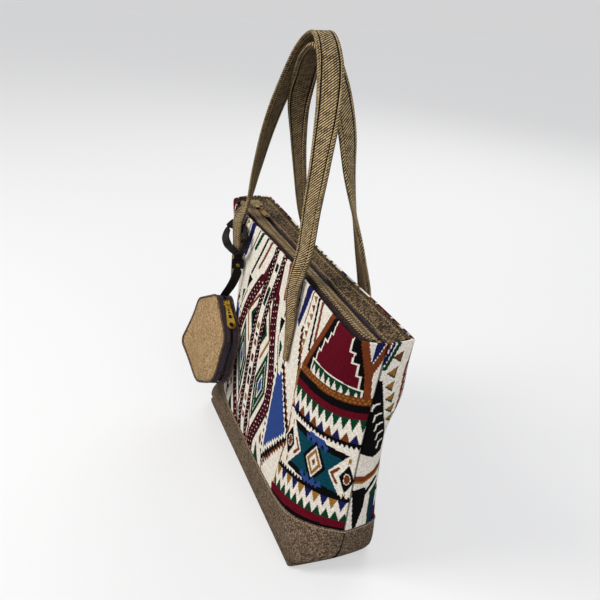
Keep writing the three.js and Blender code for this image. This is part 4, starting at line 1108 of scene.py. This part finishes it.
# Handles: two long straps of twill, folded round a soft core and stitched along both edges.
# Each is sewn flat on its panel at both ends and stands up in a loop, the back one inside the front one.
HANDLE_WIDTH, HANDLE_THICKNESS = 26.0, 4.5
HANDLE_RISE, HANDLE_SEWN, HANDLE_LIFT = 225.0, 90.0, 3.0
FRONT_STRANDS, BACK_STRANDS = (55.0, -133.0), (84.0, -75.0)
# How far a strap is from its panel, and how far under the rim it begins to lift off and has lifted off
HANDLE_GAP, LIFT_FROM, LIFT_TO = 0.6, 44.0, 20.0
# Places down the sewn ends, as shares of their length
SEWN_PLACES = (1, 0.75, 0.5, 0.25, 0.07)
# Places on a loop: way from the near strand to the far one, lean to its panel, rise, heading of the width
FRONT_LOOP = [
    (-0.027, 0.96, 0.116, 8), (0.022, 0.71, 0.306, 14), (0.062, 0.45, 0.54, 26), (0.12, 0.22, 0.763, 52),
    (0.22, 0.09, 0.922, 85), (0.366, 0.02, 0.997, 105), (0.538, 0.1, 0.934, 115), (0.714, 0.3, 0.731, 118),
    (0.869, 0.47, 0.497, 127), (0.942, 0.7, 0.252, 141), (0.973, 0.93, 0.05, 160),
]
BACK_LOOP = [
    (0.026, 0.86, 0.142, 172), (0.138, 0.75, 0.298, 157), (0.204, 0.56, 0.459, 136), (0.294, 0.48, 0.64, 117),
    (0.435, 0.31, 0.82, 108), (0.573, -0.04, 0.949, 105), (0.721, -0.07, 0.902, 98), (0.881, 0.11, 0.793, 82),
    (1, 0.23, 0.648, 45), (1.052, 0.47, 0.476, 20), (1.051, 0.7, 0.286, 9), (1.013, 0.89, 0.106, 3),
]


def curve_through(points, count):
    """Places evenly along the rounded curve through points."""
    points = np.asarray(points, float)
    held = np.r_[[2 * points[0] - points[1]], points, [2 * points[-1] - points[-2]]]
    places = []
    for t in np.linspace(0, len(points) - 1, count):
        i = min(int(t), len(points) - 2)
        w = t - i
        p0, p1, p2, p3 = held[i:i + 4]
        steps = ((p0, p1), (p1, p2), (p2, p3))
        d0, d1, d2 = (max(np.linalg.norm(b - a) ** 0.5, 1e-4) for a, b in steps)
        t1 = ((p1 - p0) / d0 - (p2 - p0) / (d0 + d1) + (p2 - p1) / d1) * d1
        t2 = ((p2 - p1) / d1 - (p3 - p1) / (d1 + d2) + (p3 - p2) / d2) * d1
        bend, twist = 3 * (p2 - p1) - 2 * t1 - t2, 2 * (p1 - p2) + t1 + t2
        places.append(p1 + t1 * w + bend * w * w + twist * w ** 3)
    return np.array(places)


def strap_frames(middles, widths, count):
    """Middle, width direction and face direction at places along a strap."""
    middle = curve_through(middles, count)
    across = curve_through(widths, count)
    along = np.gradient(middle, axis=0)
    along /= np.linalg.norm(along, axis=1)[:, None]
    across -= along * (across * along).sum(1)[:, None]
    across /= np.linalg.norm(across, axis=1)[:, None]
    return middle, across, np.cross(across, along)


def handle_offset(z):
    """How far a strap's middle lies outside its panel."""
    lift = HANDLE_LIFT * smooth(z, BAG_HEIGHT - LIFT_FROM, BAG_HEIGHT - LIFT_TO)
    return HANDLE_THICKNESS / 2 + HANDLE_GAP + lift


def all_round(half_face):
    """A whole strap section from half of its outer face: places across it and out of it."""
    face = half_face + [(-a, o) for a, o in half_face[-2::-1]]
    return face + [(-a, -o) for a, o in face[1:-1]]


strap_half = [
    (13.0, 0.0), (12.85, 1.1), (12.3, 1.8), (11.4, 2.1), (10.2, 2.0), (9.5, 1.7), (8.7, 0.3), (7.9, 1.7),
    (7.2, 2.1), (5.0, 2.2), (2.5, 2.25), (0.0, 2.25),
]
strap_section = all_round(strap_half)
STRAP_STITCH, STRAP_STITCH_OUT = 10.2, 2.1
# The points of the section at the bottom of its creases, and where its inner face begins
STRAP_CREASE = [k for k, (a, o) in enumerate(strap_section) if abs(o) < 0.5 and abs(a) < 9]
STRAP_INNER = len(strap_section) // 2
STRAP_STATIONS = 300
STRAP_TAPER, STRAP_TIP = 62.0, 0.26
STRAP_STRETCH = 0.12
# The inner faces: a darker copy of the strap's twill, as painted shade on the faces turned towards the panel
# and the inside of the loop
shaded_strap_inside = twill_material(
    "shaded_strap_inside", 2.05, 0.35, 1.3, [(10, 7, 5), (32, 24, 16), (66, 52, 35), (142, 120, 86)])


def handle(name, side, strands, loop):
    places, turns = [], []
    first, last = (0, 180) if side == FRONT else (180, 0)

    def on_panel(x, share):
        z = np.full(3, BAG_HEIGHT - HANDLE_SEWN * share)
        edges = np.array([x - HANDLE_WIDTH / 2, x, x + HANDLE_WIDTH / 2])
        depth = depth_at(side, edges, z, 0).max()
        return x, side * (depth + handle_offset(z[0])), z[0]

    for share in SEWN_PLACES:
        places.append(on_panel(strands[0], share))
        turns.append(first)
    for way, lean, rise, heading in loop:
        x = strands[0] + way * (strands[1] - strands[0])
        places.append((x, side * lean * TOP_DEPTH / 2, BAG_HEIGHT + rise * HANDLE_RISE))
        turns.append(heading)
    for share in reversed(SEWN_PLACES):
        places.append(on_panel(strands[1], share))
        turns.append(last)
    headings = [(math.cos(math.radians(t)), math.sin(math.radians(t)), 0) for t in turns]
    middle, across, out = strap_frames(places, headings, STRAP_STATIONS)
    run = run_along(middle)
    breadth = STRAP_TIP + (1 - STRAP_TIP) * smooth(np.minimum(run, run[-1] - run), 0, STRAP_TAPER)

    def on_strap(a, o):
        """A line along the strap. The sewn ends narrow to a tip at the strap's outer edge."""
        reach = HANDLE_WIDTH / 2 - (HANDLE_WIDTH / 2 - a) * breadth
        return middle + reach[:, None] * across + o * out

    rings = np.stack([on_strap(a, o) for a, o in strap_section], 1)
    standing = np.clip((middle[:-1, 2] - BAG_HEIGHT) / HANDLE_RISE, 0, 1)
    stretch = 1 + STRAP_STRETCH * np.sin(math.pi * standing)
    piece = loft_piece(name, rings, strap_twill, girth(strap_section), stretch)
    # The faces at the bottom of the strap's creases take the dark twill as painted shade
    piece.data.materials.append(crease_shade_twill)
    piece.data.materials.append(shaded_strap_inside)
    for face in piece.data.polygons[:-2]:
        place = face.index % len(strap_section)
        if place in STRAP_CREASE or place + 1 in STRAP_CREASE:
            face.material_index = 1
        # The inner face takes the darker twill as painted shade
        elif place >= STRAP_INNER:
            face.material_index = 2
    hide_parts(name.replace("_cloth", ""))
    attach(piece, "bag")
    lines = []
    for a in (-STRAP_STITCH, STRAP_STITCH):
        lines += [on_strap(a, o)[2:-2] for o in (-STRAP_STITCH_OUT, STRAP_STITCH_OUT)]
    return lines


handle_lines = handle("front_handle_cloth", FRONT, FRONT_STRANDS, FRONT_LOOP)
handle_lines += handle("back_handle_cloth", BACK, BACK_STRANDS, BACK_LOOP)
sew("handle_stitches", handle_lines, "bag", strap_thread, pitch=3.2, length=2.2, radius=0.5)

# Pouch loop: a band of black leatherette behind the far strand of the front handle. It comes round both
# edges of the strap and its ends meet in a stitched keeper with a small brass rivet.
leatherette, nodes, links, shader = material_tree("leatherette", 0.5)
shader.inputs["Specular IOR Level"].default_value = 0.09
grain = nodes.new("ShaderNodeTexVoronoi")
grain.inputs["Scale"].default_value = 1.4
links.new(object_vector(nodes, links), grain.inputs["Vector"])
crease = noise_mask(nodes, links, object_vector(nodes, links), 0.12, 3)
colours_into(nodes, links, shader, crease, linear([(12, 9, 9), (28, 21, 20)]), 0.3, 0.75)
bump_into(nodes, links, shader, grain.outputs["Distance"], 0.0002, 0.35)

STRAND_X, LOOP_X = FRONT_STRANDS[1], -107.0
LEFT_EDGE, RIGHT_EDGE = STRAND_X - HANDLE_WIDTH / 2, STRAND_X + HANDLE_WIDTH / 2
LOOP_Z, KEEPER_TOP, KEEPER_FOOT = 270.0, 236.0, 226.0
LOOP_HALF, LOOP_THICK, LOOP_BOW = 5.0, 1.5, 13.0
LOOP_STATIONS, LOOP_END_APART = 150, 1.05
KEEPER_HALF, KEEPER_TURN, KEEPER_GAP = 5.9, math.radians(75), 2.4
panel_there = depth_at(FRONT, np.array([LEFT_EDGE, STRAND_X, RIGHT_EDGE]), np.full(3, LOOP_Z), 0).max()
panel_at_keeper = depth_at(FRONT, np.array([LOOP_X]), np.array([KEEPER_FOOT]), 0)[0]
STRAP_Y = -panel_there - handle_offset(LOOP_Z)
BEHIND_Y = -panel_there - (handle_offset(LOOP_Z) - HANDLE_THICKNESS / 2) / 2
FRONT_Y = STRAP_Y - HANDLE_THICKNESS / 2 - LOOP_HALF - 1
KEEPER_Y = -panel_at_keeper - KEEPER_HALF - KEEPER_GAP
KEEPER_ACROSS = (math.cos(KEEPER_TURN), math.sin(KEEPER_TURN), 0)
KEEPER_OUT = (math.sin(KEEPER_TURN), -math.cos(KEEPER_TURN))


def loop_end(side, z):
    """A place of the loop's end inside the keeper, where the two ends lie face to face."""
    offset = side * LOOP_END_APART
    return (LOOP_X + offset * KEEPER_OUT[0], KEEPER_Y + offset * KEEPER_OUT[1], z, KEEPER_ACROSS)


# Places along the loop, each with the heading of the band's width
loop_places = [
    loop_end(-1, KEEPER_FOOT + 2),
    loop_end(-1, KEEPER_TOP + 5),
    (RIGHT_EDGE - 2, FRONT_Y, KEEPER_TOP + 8, (0.2, 0.95, 0.25)),
    (STRAND_X - 7, FRONT_Y - 1, KEEPER_TOP + 8, (0.3, 0.9, 0.3)),
    (LEFT_EDGE - 4, FRONT_Y - 1, KEEPER_TOP + LOOP_BOW + 1, (0.35, 0.75, 0.55)),
    (LEFT_EDGE - 8, STRAP_Y - 5, LOOP_Z - LOOP_BOW + 2, (0.2, 0.5, 0.85)),
    (LEFT_EDGE - 5, STRAP_Y, LOOP_Z - 3, (0, 0.2, 1)),
    (LEFT_EDGE + 2, BEHIND_Y, LOOP_Z, (0, 0, 1)),
    (STRAND_X, BEHIND_Y, LOOP_Z + 1, (0, 0, 1)),
    (RIGHT_EDGE - 2, BEHIND_Y, LOOP_Z, (0, 0, 1)),
    (RIGHT_EDGE + LOOP_BOW, STRAP_Y + 1, LOOP_Z + 3, (-0.1, 0.1, 1)),
    (RIGHT_EDGE + 2 * LOOP_BOW, STRAP_Y - 1, LOOP_Z - 2, (-0.4, 0.35, 0.8)),
    (RIGHT_EDGE + 2 * LOOP_BOW, KEEPER_Y + 2, LOOP_Z - LOOP_BOW - 2, (-0.2, 0.8, 0.5)),
    loop_end(1, KEEPER_TOP + 5),
    loop_end(1, KEEPER_FOOT + 2),
]


def band_section(half, thick):
    """A flat band with rounded edges and a shallow crease along each edge."""
    t = thick / 2
    half_face = [
        (half, 0.0), (half - 0.1, 0.6 * t), (half - 0.4, t), (half - 1.2, 0.8 * t), (half - 2.0, t), (0.0, t),
    ]
    return all_round(half_face)


loop_section = band_section(LOOP_HALF, LOOP_THICK)
middles, widths = [place[:3] for place in loop_places], [place[3] for place in loop_places]
middle, across, out = strap_frames(middles, widths, LOOP_STATIONS)
loop_rings = np.stack([middle + a * across + o * out for a, o in loop_section], 1)
loop_band = loft_piece("pouch_loop_band", loop_rings, leatherette, girth(loop_section))
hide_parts("pouch_loop")
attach(loop_band, "bag")
dress("loop_keeper", leatherette)
dress("loop_rivet", dark_brass)
for node in ("loop_keeper", "loop_rivet"):
    soften(node, width=0.5, steps=3)

# Pouch: a zipped hexagon with rounded corners, two swelling twill faces piped to a dark gusset.
# It hangs by a leatherette tab, leaning back on the panel, and the zip runs down its outer side.
HALF_SIDE = math.pi / 6
POUCH_ORIGIN = np.array([-133.0, -58.11, 114.0])
POUCH_AXES = np.array([[0.99863, 0.05234, 0.0], [-0.05137, 0.98028, -0.19081], [-0.00999, 0.19055, 0.98163]])
POUCH_RADIUS, POUCH_GUSSET, POUCH_PIPING = 64.0, 20.0, 2.6
POUCH_CORNER, POUCH_LOW_CORNER = 16.0, 32.0
POUCH_CROWN = 5.0
POUCH_CURL, POUCH_CURL_FROM, POUCH_CURL_POWER = 10.0, 36.0, 1.5


def in_pouch(points):
    """Places of the pouch's own frame in the bag's. The soft lower corner away from the zip curls out."""
    points = np.array(points, float)
    past = -points[:, 0] * math.cos(HALF_SIDE) - points[:, 2] * math.sin(HALF_SIDE) - POUCH_CURL_FROM
    curled = np.maximum(0, past / (POUCH_RADIUS - POUCH_CURL_FROM)) ** POUCH_CURL_POWER
    points[:, 1] -= POUCH_CURL * curled
    return POUCH_ORIGIN + points @ POUCH_AXES


def pouch_outline(corner_steps, side_steps):
    """The hexagon's outline clockwise from the top corner: places and outward directions, x and z.
    The two corners under the zip are worn rounder than the others."""
    places, outward = [], []

    def heading(turn):
        return np.array([math.cos(turn), math.sin(turn)])

    def corner(index):
        radius = POUCH_LOW_CORNER if index % 6 in (2, 3) else POUCH_CORNER
        towards = math.pi / 2 - index * math.pi / 3
        return towards, radius, (POUCH_RADIUS - radius / math.cos(HALF_SIDE)) * heading(towards)

    for index in range(6):
        towards, radius, middle = corner(index)
        for step in range(corner_steps + 1):
            way = heading(towards + HALF_SIDE * (1 - 2 * step / corner_steps))
            places.append(middle + radius * way)
            outward.append(way)
        next_radius, next_middle = corner(index + 1)[1:]
        way = heading(towards - HALF_SIDE)
        start, target = places[-1], next_middle + next_radius * way
        for step in range(1, side_steps):
            places.append(start + (target - start) * step / side_steps)
            outward.append(way)
    return np.array(places), np.array(outward)


outline, outline_out = pouch_outline(corner_steps=7, side_steps=8)
pouch_twill = twill_material(
    "pouch_twill", 0.85, 0.7, 0.2, [(96, 70, 40), (148, 116, 76), (175, 144, 102), (218, 190, 146)])
FACE_SCALE = 1 - (POUCH_PIPING / 2 + 0.3) / (POUCH_RADIUS * math.cos(HALF_SIDE))
FACE_RINGS = (0.02, 0.12, 0.24, 0.36, 0.48, 0.6, 0.72, 0.82, 0.9, 0.95, 0.98, 1.0)
# Half the face's thickness, how round its swell is, the dip beside the piping and the ripples in the cloth
FACE_HALF, CROWN_POWER = 0.8, 2.4
FACE_DIP, DIP_FROM, FACE_RIPPLE = 0.5, 0.97, 0.35


def pouch_face(name, side):
    rings, uv = [], []
    for thickness, order in ((FACE_HALF, FACE_RINGS), (-FACE_HALF, FACE_RINGS[::-1])):
        for scale in order:
            swell = POUCH_CROWN * (1 - scale ** CROWN_POWER) - FACE_DIP * (scale > DIP_FROM)
            plane = outline * scale * FACE_SCALE
            soft = FACE_RIPPLE * np.sin(plane[:, 0] / 9 + 1) * np.cos(plane[:, 1] / 11) * (1 - scale ** 4)
            y = side * (POUCH_GUSSET / 2 + swell + soft + thickness)
            rings.append(in_pouch(np.stack([plane[:, 0], y, plane[:, 1]], -1)))
            uv.append(plane)
    grid = np.array(rings)
    faces = grid_faces(len(grid), len(outline), closed=True)
    if side == BACK:
        faces = faces[:, ::-1]
    piece = cloth_piece(name, grid, faces, pouch_twill, np.array(uv))
    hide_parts(name.replace("_cloth", ""))
    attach(piece, "pouch")


pouch_face("pouch_front_cloth", FRONT)
pouch_face("pouch_back_cloth", BACK)

piping_cloth = twill_material("piping", 1.2, 0.6, 0.3, [(40, 29, 25), (84, 64, 56), (136, 112, 98)])
PIPING_STEPS = 10


def pouch_piping(name, side):
    turns = np.linspace(0, 2 * math.pi, PIPING_STEPS, endpoint=False)
    rings = []
    for place, way in zip(outline, outline_out):
        ring = []
        for turn in turns:
            plane = place + way * math.cos(turn) * POUCH_PIPING / 2
            ring.append((plane[0], side * (POUCH_GUSSET / 2) + math.sin(turn) * POUCH_PIPING / 2, plane[1]))
        rings.append(in_pouch(ring))
    rings.append(rings[0])
    grid = np.array(rings)
    run = run_along(grid.mean(1))
    uv = np.stack(np.broadcast_arrays(run[:, None], turns[None, :] * POUCH_PIPING / 2), -1)
    piece = cloth_piece(name, grid, grid_faces(len(grid), PIPING_STEPS, closed=True), piping_cloth, uv)
    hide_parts(name.replace("_cord", ""))
    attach(piece, "pouch")


pouch_piping("pouch_front_piping_cord", FRONT)
pouch_piping("pouch_back_piping_cord", BACK)
for node in ("pouch_gusset", "pouch_front_zip_tape", "pouch_back_zip_tape"):
    dress(node, zip_tape)
brass = brass_material("brass", 0.3, 0.35, 4, [(196, 150, 44), (236, 204, 92)], 0.0001)
for node in ("pouch_slider", "pouch_pull"):
    dress(node, brass)
    soften(node, width=0.2, steps=2)
dress("pouch_tab", leatherette)
soften("pouch_tab", width=0.4, steps=3)
